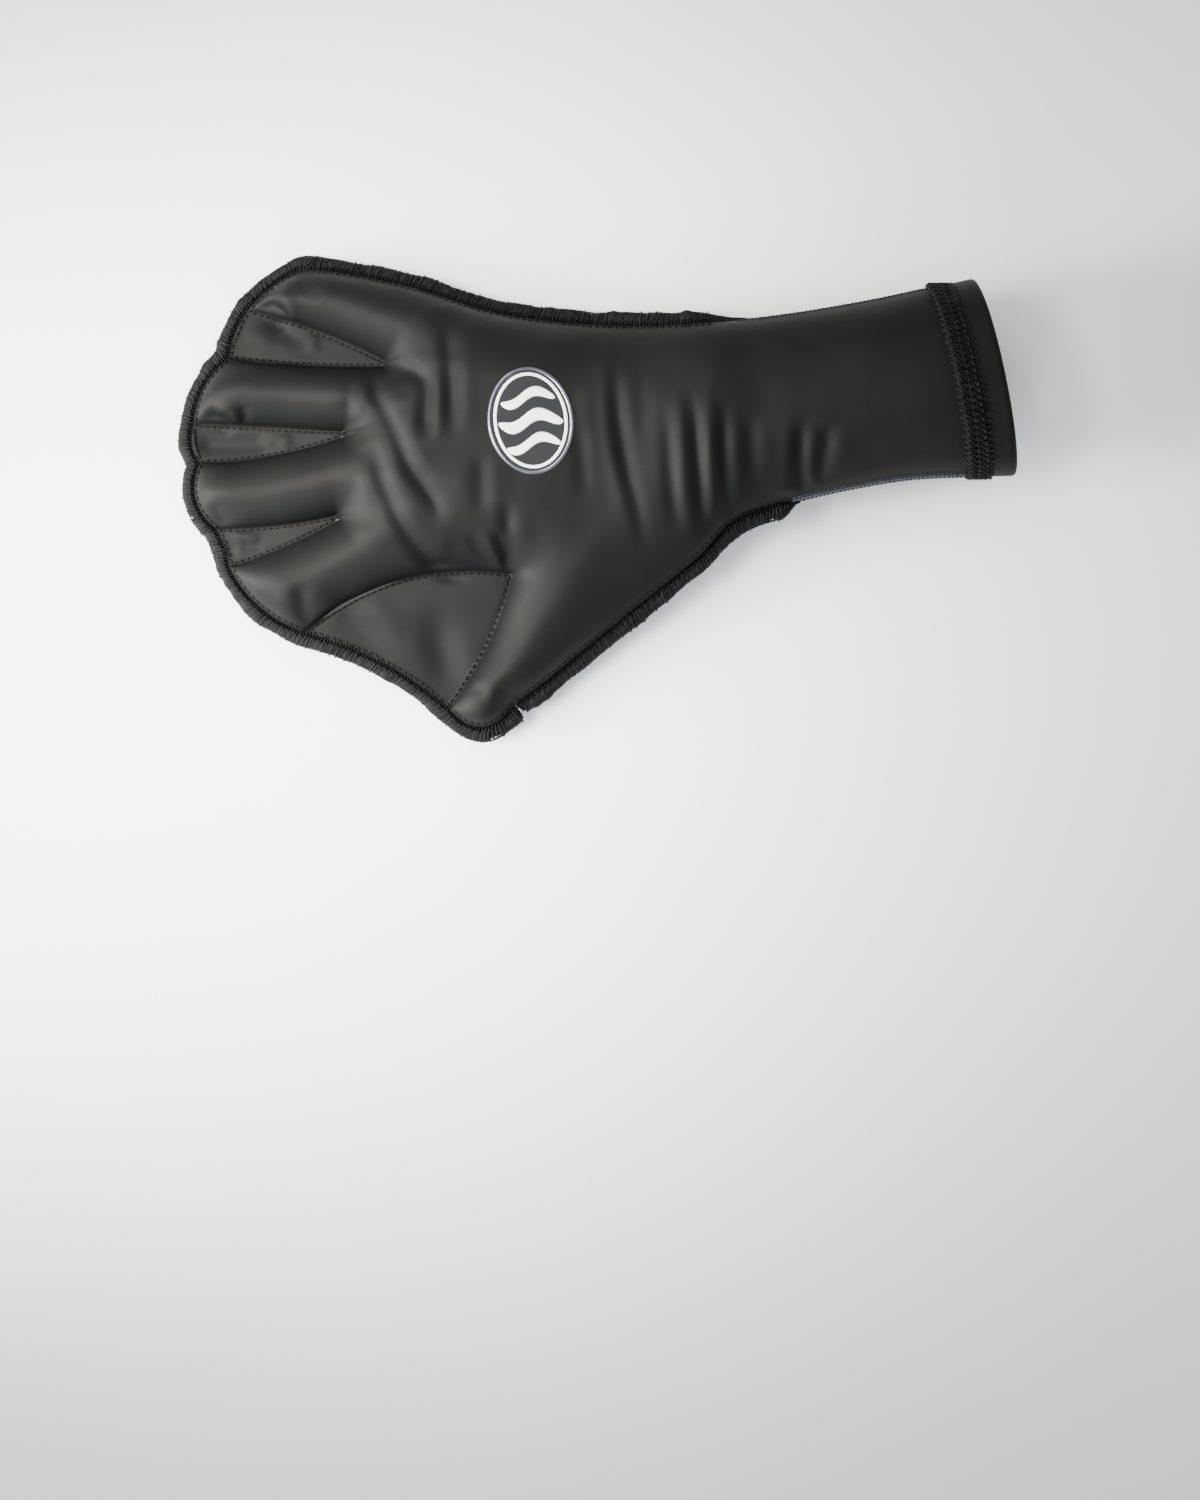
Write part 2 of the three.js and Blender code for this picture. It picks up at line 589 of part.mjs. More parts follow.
/** The coverstitch: a raised band sewn right round the cuff through the turned hem. */
function coverstitchGeometry() {
  const stations = [COVERSTITCH_INSET, COVERSTITCH_INSET + COVERSTITCH_WIDTH].map(cuffStation);
  const columns = columnsOf();
  const lastColumn = rails.length - 1;
  const round = [
    ...columns.map((column) => [column, 1]),
    ...columns.slice(1, -1).reverse().map((column) => [column, -1]),
  ];
  const ring = (station, lift) =>
    round.map(([column, side]) => {
      const atSide = column === 0 || column === lastColumn;
      const point = skin(station, column, side);
      if (atSide) point.z = sectionUnder(planAt(station, column)).seam;
      return point.addScaledVector(skinNormal(station, column, side), lift);
    });
  const inside = SEAT_GAP;
  const outside = SEAT_GAP + COVERSTITCH_BULK;
  const rings = [
    ring(stations[0], inside), ring(stations[0], outside),
    ring(stations[1], outside), ring(stations[1], inside),
  ];
  const count = round.length;
  const triangles = [];
  rings.forEach((_, k) => {
    const next = (k + 1) % rings.length;
    for (let j = 0; j < count; j++) {
      const after = (j + 1) % count;
      const [a, b, c, d] = [k * count + j, k * count + after, next * count + after, next * count + j];
      triangles.push([a, b, c], [a, c, d]);
    }
  });
  return closedGeometry(rings.flat(), triangles);
}

/** A flat seam up one side of the cuff, from the overlock's end to the coverstitch. */
function cuffSeamGeometry(column, wristStation) {
  const start = cuffStation(COVERSTITCH_INSET + COVERSTITCH_WIDTH + SEAT_GAP);
  const count = 10;
  const frames = [];
  for (let i = 0; i <= count; i++) {
    const station = mix(start, wristStation, i / count);
    const plan = planAt(station, column);
    const out = skinNormal(0, column, 1);
    const shift = SEAT_GAP + CUFF_SEAM_BULK / 2;
    const centre = new THREE.Vector3(plan.place.x, plan.place.y, sectionUnder(plan).seam);
    frames.push({ centre: centre.addScaledVector(out, shift), out, up: UP, scale: 1 });
  }
  const [w, h] = [CUFF_SEAM_BULK / 2, CUFF_SEAM_WIDTH / 2];
  return sweep(frames, [[-w, -h], [w, -h * 0.7], [w, h * 0.7], [-w, h]]);
}

const BADGE_PLACE = { along: -0.078, across: 0.143 };
const BADGE_RINGS = 4;
const BADGE_SIDES = 24;

/** The height of the back panel over a place in the hand, found between its rows. */
function backHeight(place) {
  let [station, column] = [STATION.crotch, 3];
  for (let pass = 0; pass < 30; pass++) {
    const here = planAt(station, column).place;
    const alongWay = planAt(station + NUDGE, column).place.sub(here).divideScalar(NUDGE);
    const acrossWay = planAt(station, column + NUDGE).place.sub(here).divideScalar(NUDGE);
    const left = place.clone().sub(here);
    const size = alongWay.cross(acrossWay);
    station += clamp(left.cross(acrossWay) / size, -0.3, 0.3);
    column += clamp(alongWay.cross(left) / size, -0.3, 0.3);
  }
  return { point: skin(station, column, 1), normal: skinNormal(station, column, 1) };
}

/** The oval film pressed on the back of the hand, following the panel. */
function badgeGeometry() {
  const centre = onPlan(BADGE_PLACE);
  const tilt = THREE.MathUtils.degToRad(BADGE_TILT);
  const layer = (lift) => {
    const points = [];
    for (let ring = 0; ring <= BADGE_RINGS; ring++) {
      for (let side = 0; side < (ring ? BADGE_SIDES : 1); side++) {
        const angle = (2 * Math.PI * side) / BADGE_SIDES;
        const reach = ring / BADGE_RINGS / 2;
        const place = new THREE.Vector2(
          BADGE_WIDTH * reach * Math.cos(angle),
          BADGE_HEIGHT * reach * Math.sin(angle),
        );
        place.rotateAround(new THREE.Vector2(), tilt).add(centre);
        const { point, normal } = backHeight(place);
        points.push(point.addScaledVector(normal, lift));
      }
    }
    return points;
  };
  const vertices = [...layer(BADGE_SEAT), ...layer(BADGE_SEAT + BADGE_BULK)];
  const layerSize = vertices.length / 2;
  const at = (top, ring, side) =>
    (top ? layerSize : 0) + (ring ? 1 + (ring - 1) * BADGE_SIDES + (side % BADGE_SIDES) : 0);
  const triangles = [];
  for (let side = 0; side < BADGE_SIDES; side++) {
    for (const top of [0, 1]) {
      const face = (a, b, c) => triangles.push(top ? [a, b, c] : [a, c, b]);
      face(at(top, 0, 0), at(top, 1, side), at(top, 1, side + 1));
      for (let ring = 1; ring < BADGE_RINGS; ring++) {
        face(at(top, ring, side), at(top, ring + 1, side), at(top, ring + 1, side + 1));
        face(at(top, ring, side), at(top, ring + 1, side + 1), at(top, ring, side + 1));
      }
    }
    const [a, b] = [at(0, BADGE_RINGS, side), at(0, BADGE_RINGS, side + 1)];
    const [c, d] = [at(1, BADGE_RINGS, side + 1), at(1, BADGE_RINGS, side)];
    triangles.push([a, b, c], [a, c, d]);
  }
  return closedGeometry(vertices, triangles);
}

const neoprene = new THREE.MeshStandardMaterial({ color: 0x30302e, roughness: 0.5, metalness: 0 });
const thread = new THREE.MeshStandardMaterial({ color: 0x101012, roughness: 0.85, metalness: 0 });
const seamCloth = new THREE.MeshStandardMaterial({ color: 0x1c2230, roughness: 0.6, metalness: 0 });
const film = new THREE.MeshStandardMaterial({ color: 0xd8dade, roughness: 0.25, metalness: 0.2 });

const pieces = [
  ["back_panel", panelGeometry(1), neoprene],
  ["palm_panel", panelGeometry(-1), neoprene],
  ["hand_overlock", overlockGeometry(handSeamCorners(), "end"), thread],
  ["thumb_overlock", overlockGeometry(thumbSeamCorners(), "start"), thread],
  ["little_side_cuff_seam", cuffSeamGeometry(0, STATION.wrist - CUFF_SEAM_CLEARANCE), seamCloth],
  ["thumb_side_cuff_seam", cuffSeamGeometry(rails.length - 1, THUMB_SEAM_START - CUFF_SEAM_CLEARANCE), seamCloth],
  ["hem_coverstitch", coverstitchGeometry(), thread],
  ["back_badge", badgeGeometry(), film],
];

const glove = new THREE.Group();
for (const [name, geometry, material] of pieces) {
  const mesh = new THREE.Mesh(geometry, material);
  mesh.name = name;
  glove.add(mesh);
}

// The plan's middle is near the box's middle already: this takes up the rest and sets the glove on the surface.
const box = new THREE.Box3().setFromObject(glove);
const middle = box.getCenter(new THREE.Vector3());
for (const mesh of glove.children) mesh.position.set(-middle.x, -middle.y, -box.min.z);

export default glove;
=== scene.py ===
"""Looks of a webbed swim glove: neoprene panels, overlocked edges, stitched webs, hem, side seams and badge.

Plan places are in millimetres on the same plan as the CAD part: along runs from the fingertips to the cuff,
across from the thumb to the little finger. Meshes are made in metres.
"""

import logging
import math
from dataclasses import dataclass, field
from enum import Enum
from typing import Any, Callable, Optional, Sequence, Union

import bpy
import numpy as np
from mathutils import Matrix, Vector
from mathutils.bvhtree import BVHTree


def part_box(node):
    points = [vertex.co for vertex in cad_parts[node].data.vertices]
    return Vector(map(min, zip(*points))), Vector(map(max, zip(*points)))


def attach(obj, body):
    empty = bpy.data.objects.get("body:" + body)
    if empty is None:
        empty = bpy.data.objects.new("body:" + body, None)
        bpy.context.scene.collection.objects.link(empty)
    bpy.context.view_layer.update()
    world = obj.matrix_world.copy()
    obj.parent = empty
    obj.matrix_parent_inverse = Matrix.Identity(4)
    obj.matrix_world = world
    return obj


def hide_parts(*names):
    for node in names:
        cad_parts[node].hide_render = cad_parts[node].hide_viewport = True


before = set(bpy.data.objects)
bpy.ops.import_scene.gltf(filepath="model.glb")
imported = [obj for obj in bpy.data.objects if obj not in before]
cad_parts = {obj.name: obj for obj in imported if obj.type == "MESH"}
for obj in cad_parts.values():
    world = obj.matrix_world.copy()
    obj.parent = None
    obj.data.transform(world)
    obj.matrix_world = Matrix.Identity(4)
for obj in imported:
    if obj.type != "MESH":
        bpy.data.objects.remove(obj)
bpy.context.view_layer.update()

LOG = logging.getLogger("swim_glove")
MM = 0.001
GLOVE_LENGTH = 306.0
HAND_SPREAD = 177.0
HAND_DEPTH = 34.0
CUFF_DEPTH = 49.0
WALL = 2.0
HEM_DEPTH = 17.0
HEM_BLEND = 1.0
HEM_FOLD_GAIN = 0.75
COVERSTITCH_INSET = 8.8
COVERSTITCH_WIDTH = 8.4
LAYER_GAP = 0.3
BODY = "root"

CUFF, FOREARM, WRIST, HEEL, CROTCH, KNUCKLE, TIP = range(7)


class Side(Enum):
    """The two panels, with the sign of their outward direction."""

    BACK = 1
    PALM = -1


@dataclass(frozen=True)
class Place:
    """A place on the plan, in shares of the glove's length and spread."""

    along: float
    across: float

    def mm(self) -> np.ndarray:
        """The place in millimetres."""
        return np.array([self.along * GLOVE_LENGTH, self.across * HAND_SPREAD])


@dataclass(frozen=True)
class Web:
    """A flat web between two fingers: its root, its ends on the fingertip edge and its stitch lines' bow."""

    root: int
    share: float
    crotch_share: float
    apex: Place
    near: Place
    far: Place
    near_bow: float
    far_bow: float


@dataclass(frozen=True)
class Fold:
    """A soft fold: its line on the plan, its rise in millimetres (below zero for a groove) and half width."""

    line: tuple
    rise: float
    width: float
    fade: float = 0.35


LITTLE_EDGE = (
    Place(0.443, 0.438), Place(0.31, 0.39), Place(0.176, 0.358), Place(0.036, 0.349),
    Place(-0.11, 0.373), Place(-0.233, 0.436), Place(-0.353, 0.47), Place(-0.379, 0.431),
)
THUMB_EDGE = (
    Place(0.492, 0.036), Place(0.349, 0.027), Place(0.178, -0.043), Place(0.112, -0.14),
    Place(-0.012, -0.312), Place(-0.066, -0.388), Place(-0.099, -0.431), Place(-0.117, -0.48),
)
WEBS = (
    Web(KNUCKLE, 0.2, 0.23, Place(-0.253, 0.272), Place(-0.418, 0.386), Place(-0.441, 0.287), -0.03, 0.02),
    Web(KNUCKLE, 0.4, 0.49, Place(-0.301, 0.128), Place(-0.483, 0.151), Place(-0.475, 0.071), 0.0, 0.04),
    Web(KNUCKLE, 0.6, 0.75, Place(-0.309, -0.043), Place(-0.456, -0.066), Place(-0.44, -0.144), 0.03, 0.03),
    Web(CROTCH, 0.8, 1.0, Place(-0.103, -0.165), Place(-0.35, -0.28), Place(-0.178, -0.436), -0.11, 0.05),
)
TIP_BULGE = np.array([0.05, 0.06, 0.1, 0.12, 0.18, -0.06, 0.1, -0.06, 0.31])
WEB_ROOT = 1.6
RAIL_SPREAD = 0.01
PALM_CENTRE = Place(-0.116, 0.117)
BADGE_PLACE = Place(-0.078, 0.143)
FINGER_REACH = 0.346 * GLOVE_LENGTH
ARM_REACH = 0.608 * GLOVE_LENGTH
HAND_TABLE = {
    "reach": (0, 0.25, 0.5, 0.75, 1, 1.25),
    "seam": (0.42, 0.41, 0.375, 0.315, 0.26, 0.23),
    "back": (0.53, 0.53, 0.46, 0.33, 0.3, 0.28),
    "palm": (0.5, 0.5, 0.46, 0.38, 0.33, 0.3),
    "soft": (0.82, 0.8, 0.68, 0.46, 0.4, 0.36),
}
ARM_TABLE = {
    "reach": (0, 0.25, 0.5, 0.75, 1),
    "seam": (0.29, 0.335, 0.41, 0.475, 0.53),
    "back": (0.37, 0.38, 0.385, 0.445, 0.49),
    "palm": (0.36, 0.34, 0.37, 0.437, 0.482),
}


def smooth(value: np.ndarray, low: float, high: float) -> np.ndarray:
    """Smoothstep from low to high."""
    t = np.clip((value - low) / (high - low), 0.0, 1.0)
    return t * t * (3 - 2 * t)


def spline(a: np.ndarray, b: np.ndarray, c: np.ndarray, d: np.ndarray, t: np.ndarray) -> np.ndarray:
    """Catmull-Rom value at a share of the way from b to c."""
    cubic = (3 * b - a - 3 * c + d) * t * t * t
    return 0.5 * (2 * b + (c - a) * t + (2 * a - 5 * b + 4 * c - d) * t * t + cubic)


def line_at(points: np.ndarray, station: np.ndarray) -> np.ndarray:
    """Points of the smooth line through places that are one station apart.

    Args:
        points: The places, one row each.
        station: Where on the line, in stations.

    Returns:
        One row for each station.
    """
    padded = np.vstack([2 * points[0] - points[1], points, 2 * points[-1] - points[-2]])
    i = np.clip(np.floor(station).astype(int), 0, len(points) - 2)
    t = (station - i)[..., None]
    return spline(padded[i], padded[i + 1], padded[i + 2], padded[i + 3], t)


def bow_at(root: np.ndarray, tip: np.ndarray, bow: float, share: np.ndarray) -> np.ndarray:
    """Points of a stitch line that bends sideways by a share of its length.

    Args:
        root: Where the line begins.
        tip: Where it ends.
        bow: How far it bends, as a share of its length.
        share: Where on the line, from 0 to 1.

    Returns:
        One point for each share.
    """
    chord = tip - root
    middle = root + chord / 2 + 2 * bow * np.array([-chord[1], chord[0]])
    t = share[..., None]
    return (1 - t) ** 2 * root + 2 * t * (1 - t) * middle + t * t * tip


def distance_to_line(places: np.ndarray, line: np.ndarray) -> tuple:
    """Distance from places to a line, and where on it the nearest point is.

    Args:
        places: Places, in the last axis of two.
        line: Points of the line, one row each.

    Returns:
        Distance and share of the line's length, each of the places' shape.
    """
    best = np.full(places.shape[:-1], np.inf)
    where = np.zeros(places.shape[:-1])
    lengths = np.linalg.norm(np.diff(line, axis=0), axis=1)
    ends = np.concatenate([[0], np.cumsum(lengths)])
    for i, length in enumerate(lengths):
        chord = line[i + 1] - line[i]
        offset = places - line[i]
        t = np.clip((offset @ chord) / max(length * length, 1e-9), 0, 1)
        gap = offset - t[..., None] * chord
        distance = np.hypot(gap[..., 0], gap[..., 1])
        nearer = distance < best
        best = np.where(nearer, distance, best)
        where = np.where(nearer, (ends[i] + t * length) / ends[-1], where)
    return best, where


def inside_ring(places: np.ndarray, ring: np.ndarray) -> np.ndarray:
    """True where a closed line goes round a place.

    Args:
        places: Places, in the last axis of two.
        ring: Corners of the closed line, one row each.

    Returns:
        Truth values of the places' shape.
    """
    inside = np.zeros(places.shape[:-1], bool)
    x, y = places[..., 0], places[..., 1]
    for a, b in zip(ring, np.roll(ring, 1, axis=0)):
        if a[1] == b[1]:
            continue
        crosses = (a[1] > y) != (b[1] > y)
        inside ^= crosses & (x < (b[0] - a[0]) * (y - a[1]) / (b[1] - a[1]) + a[0])
    return inside


def rise(distance: np.ndarray, softness: np.ndarray) -> np.ndarray:
    """Soft rise from a seam to full height, close to a quarter round."""
    q = np.clip(distance / softness, 0, 1)
    return np.sin(np.pi / 2 * q ** 0.62)


def table_at(table: dict, key: str, reach: np.ndarray) -> np.ndarray:
    """A column of a section table on the smooth line through its rows.

    Args:
        table: The table, with its marks under reach.
        key: Name of the column.
        reach: Where to read it.

    Returns:
        Values of reach's shape.
    """
    marks = np.array(table["reach"], float)
    values = np.array(table[key], float)
    i = np.clip(np.searchsorted(marks, reach, side="left") - 1, 0, len(marks) - 2)
    t = np.clip((reach - marks[i]) / (marks[i + 1] - marks[i]), 0, 1)
    before = values[np.maximum(i - 1, 0)]
    after = values[np.minimum(i + 2, len(marks) - 1)]
    return spline(before, values[i], values[i + 1], after, t)


# Folds of the back of the hand, in shares of the glove's length and spread.
BACK_FOLDS = (
    # wrist ridges
    Fold(((-0.012, 0.247), (-0.009, 0.107), (0.0, 0.026)), 0.46, 3.5),
    Fold(((0.007, 0.316), (0.009, 0.189), (0.015, 0.087), (0.031, -0.014), (0.043, -0.092)), 0.76, 3.4),
    Fold(((0.035, 0.287), (0.037, 0.189), (0.039, 0.09)), 0.41, 4.9),
    Fold(((0.065, 0.287), (0.066, 0.189), (0.069, 0.07)), 0.25, 5.2),
    Fold(((0.093, 0.247), (0.095, 0.139), (0.098, 0.041), (0.11, -0.107)), 0.82, 3.2),
    Fold(((0.129, 0.238), (0.129, 0.129), (0.131, 0.031), (0.137, -0.092)), 0.97, 3.4),
    Fold(((0.158, 0.149), (0.16, 0.07), (0.162, -0.038)), 0.46, 3.6),
    Fold(((0.194, 0.149), (0.195, 0.07), (0.2, -0.008)), 0.31, 4.3),
    Fold(((0.221, 0.179), (0.221, 0.09), (0.218, 0.021), (0.215, -0.028)), 0.66, 4.0),
    Fold(((0.214, 0.026), (0.216, -0.005), (0.218, -0.038)), 0.46, 4.9),
    Fold(((0.243, 0.149), (0.245, 0.09), (0.246, 0.041), (0.256, -0.028)), 0.56, 2.5),
    Fold(((0.287, 0.149), (0.284, 0.09), (0.281, 0.031)), 0.31, 4.5),
    # wrist grooves
    Fold(((-0.019, 0.149), (-0.018, 0.07), (-0.014, -0.028)), -0.64, 3.0),
    Fold(((0.02, 0.287), (0.023, 0.169), (0.033, 0.051), (0.049, -0.058), (0.059, -0.146)), -1.19, 2.8),
    Fold(((0.051, 0.267), (0.052, 0.169), (0.055, 0.07)), -0.37, 3.4),
    Fold(((0.082, 0.169), (0.084, 0.07), (0.088, -0.018), (0.096, -0.097)), -1.02, 2.8),
    Fold(((0.11, 0.208), (0.115, 0.1), (0.12, 0.006), (0.127, -0.107)), -1.74, 2.8),
    Fold(((0.146, 0.189), (0.147, 0.09), (0.151, -0.008), (0.154, -0.092)), -1.66, 2.8),
    Fold(((0.177, 0.159), (0.179, 0.09), (0.181, 0.021)), -0.55, 3.0),
    Fold(((0.237, 0.149), (0.236, 0.08), (0.238, 0.031), (0.248, -0.033)), -2.02, 2.7),
    Fold(((0.269, 0.139), (0.263, 0.066), (0.258, 0.006)), -1.66, 2.7),
    # knuckles of the ring and little finger
    Fold(
        ((-0.259, 0.262), (-0.259, 0.205), (-0.249, 0.162), (-0.234, 0.111), (-0.22, 0.055), (-0.204, 0.014),
         (-0.189, -0.027), (-0.183, -0.077)),
        -1.71, 3.0, 0.2,
    ),
    Fold(((-0.246, 0.233), (-0.238, 0.198), (-0.226, 0.164)), 0.54, 4.9),
    Fold(
        ((-0.247, 0.257), (-0.228, 0.253), (-0.208, 0.235), (-0.2, 0.205), (-0.201, 0.154), (-0.199, 0.095)),
        -1.7, 3.0, 0.25,
    ),
    Fold(((-0.191, 0.257), (-0.186, 0.189), (-0.186, 0.139), (-0.192, 0.08)), 0.54, 3.6),
    Fold(((-0.178, 0.366), (-0.174, 0.287), (-0.171, 0.189), (-0.171, 0.095)), -1.53, 3.4),
    Fold(((-0.182, 0.385), (-0.177, 0.326), (-0.175, 0.257)), -0.72, 6.9),
    Fold(((-0.155, 0.307), (-0.155, 0.189), (-0.158, 0.08)), 0.42, 4.2),
    Fold(((-0.277, 0.238), (-0.278, 0.179), (-0.288, 0.134)), 0.6, 2.9),
    Fold(((-0.286, 0.238), (-0.29, 0.189), (-0.302, 0.154)), -0.54, 2.8),
    Fold(((-0.287, 0.134), (-0.277, 0.108), (-0.268, 0.08)), 0.48, 3.9),
    Fold(((-0.231, 0.139), (-0.211, 0.08), (-0.195, 0.031)), 0.36, 4.2),
    # knuckles of the middle and index finger
    Fold(
        ((-0.268, 0.12), (-0.258, 0.063), (-0.248, 0.006), (-0.232, -0.055), (-0.213, -0.107),
         (-0.189, -0.148), (-0.148, -0.174)),
        -1.71, 3.1, 0.2,
    ),
    Fold(((-0.246, 0.075), (-0.235, 0.024), (-0.225, -0.014), (-0.205, -0.082)), 0.66, 4.2),
    Fold(((-0.277, 0.065), (-0.273, 0.021), (-0.263, -0.038)), 0.42, 3.9),
    Fold(((-0.286, 0.07), (-0.285, 0.031), (-0.283, -0.018)), -0.45, 3.0),
    Fold(((-0.297, -0.054), (-0.271, -0.082), (-0.246, -0.112)), 0.3, 3.1),
    Fold(((-0.163, 0.061), (-0.159, -0.008), (-0.155, -0.067)), 0.3, 4.2),
    Fold(((-0.137, 0.09), (-0.135, 0.021), (-0.135, -0.058)), -0.63, 3.0),
    Fold(((-0.123, 0.08), (-0.121, 0.021), (-0.121, -0.048)), 0.3, 3.9),
    # by the root of the thumb's web
    Fold(((-0.187, -0.107), (-0.152, -0.121), (-0.123, -0.117)), -0.72, 6.9),
    Fold(((-0.157, -0.077), (-0.133, -0.126), (-0.115, -0.161)), -0.81, 2.3),
    Fold(((-0.137, -0.077), (-0.117, -0.14), (-0.104, -0.174)), 0.45, 2.0),
    Fold(((-0.123, -0.067), (-0.111, -0.118), (-0.103, -0.166)), -1.17, 2.1),
    Fold(((-0.106, -0.008), (-0.105, -0.087), (-0.099, -0.166)), -1.35, 2.6),
    Fold(((-0.089, -0.028), (-0.087, -0.107), (-0.089, -0.185)), 0.42, 4.2),
    # little finger
    Fold(((-0.408, 0.407), (-0.387, 0.384), (-0.368, 0.344)), -2.0, 3.2),
    Fold(((-0.379, 0.426), (-0.363, 0.387), (-0.359, 0.334)), 1.2, 2.5),
    Fold(((-0.357, 0.441), (-0.342, 0.416), (-0.323, 0.397)), -0.7, 3.2),
    # ring finger
    Fold(((-0.454, 0.189), (-0.436, 0.173), (-0.428, 0.157), (-0.424, 0.13)), 1.0, 2.2),
    Fold(((-0.47, 0.179), (-0.46, 0.163), (-0.446, 0.149), (-0.433, 0.132)), -1.2, 2.7),
    Fold(((-0.419, 0.189), (-0.419, 0.158), (-0.417, 0.132)), -1.0, 2.0),
    # middle finger
    Fold(((-0.459, -0.015), (-0.448, -0.049), (-0.44, -0.068)), -0.81, 3.4),
    # index finger
    Fold(((-0.351, -0.173), (-0.349, -0.223), (-0.347, -0.274)), -1.35, 3.4),
    Fold(((-0.371, -0.163), (-0.369, -0.213), (-0.371, -0.257)), 0.42, 4.4),
    Fold(((-0.33, -0.213), (-0.316, -0.231), (-0.299, -0.24)), 0.48, 3.4),
    # thumb
    Fold(((-0.142, -0.377), (-0.137, -0.417), (-0.136, -0.456)), -0.72, 3.0),
)

# Dents of the webs, shared by both layers.
WEB_FOLDS = (
    Fold(((-0.412, 0.37), (-0.381, 0.349), (-0.357, 0.322), (-0.35, 0.293)), -1.0, 3.4, 0.4),
    Fold(((-0.343, 0.34), (-0.339, 0.315), (-0.341, 0.29)), 0.5, 2.4),
    Fold(((-0.425, 0.34), (-0.402, 0.325), (-0.385, 0.305)), 0.4, 3.4),
    Fold(((-0.48, 0.106), (-0.43, 0.107), (-0.388, 0.11)), -1.0, 3.4, 0.2),
    Fold(((-0.374, 0.13), (-0.372, 0.113), (-0.374, 0.1)), 0.5, 2.4),
    Fold(((-0.44, -0.072), (-0.418, -0.083), (-0.398, -0.09)), 0.5, 2.0),
    Fold(((-0.43, -0.098), (-0.413, -0.1), (-0.395, -0.1)), -0.4, 2.0),
    Fold(((-0.449, -0.1), (-0.439, -0.109), (-0.427, -0.115)), -0.5, 2.4),
    Fold(((-0.285, -0.2), (-0.255, -0.245), (-0.225, -0.29)), 0.7, 6.0, 0.45),
    Fold(((-0.32, -0.24), (-0.277, -0.274), (-0.235, -0.32)), -0.8, 6.0, 0.45),
    Fold(((-0.197, -0.215), (-0.188, -0.294), (-0.178, -0.35), (-0.166, -0.415)), -1.5, 6.6, 0.4),
)
PALM_FOLDS = (
    Fold(((0.1, 0.3), (0.105, 0.14), (0.115, -0.04)), -1.4, 3.8),
    Fold(((0.16, 0.28), (0.165, 0.14), (0.175, 0.02)), -1.2, 3.8),
    Fold(((0.13, 0.25), (0.134, 0.14), (0.143, 0.0)), 1.0, 3.4),
    Fold(((0.06, 0.3), (0.07, 0.16), (0.08, -0.02)), -1.1, 3.2),
    Fold(((0.21, 0.27), (0.215, 0.15), (0.215, 0.04)), -0.8, 3.4),
)


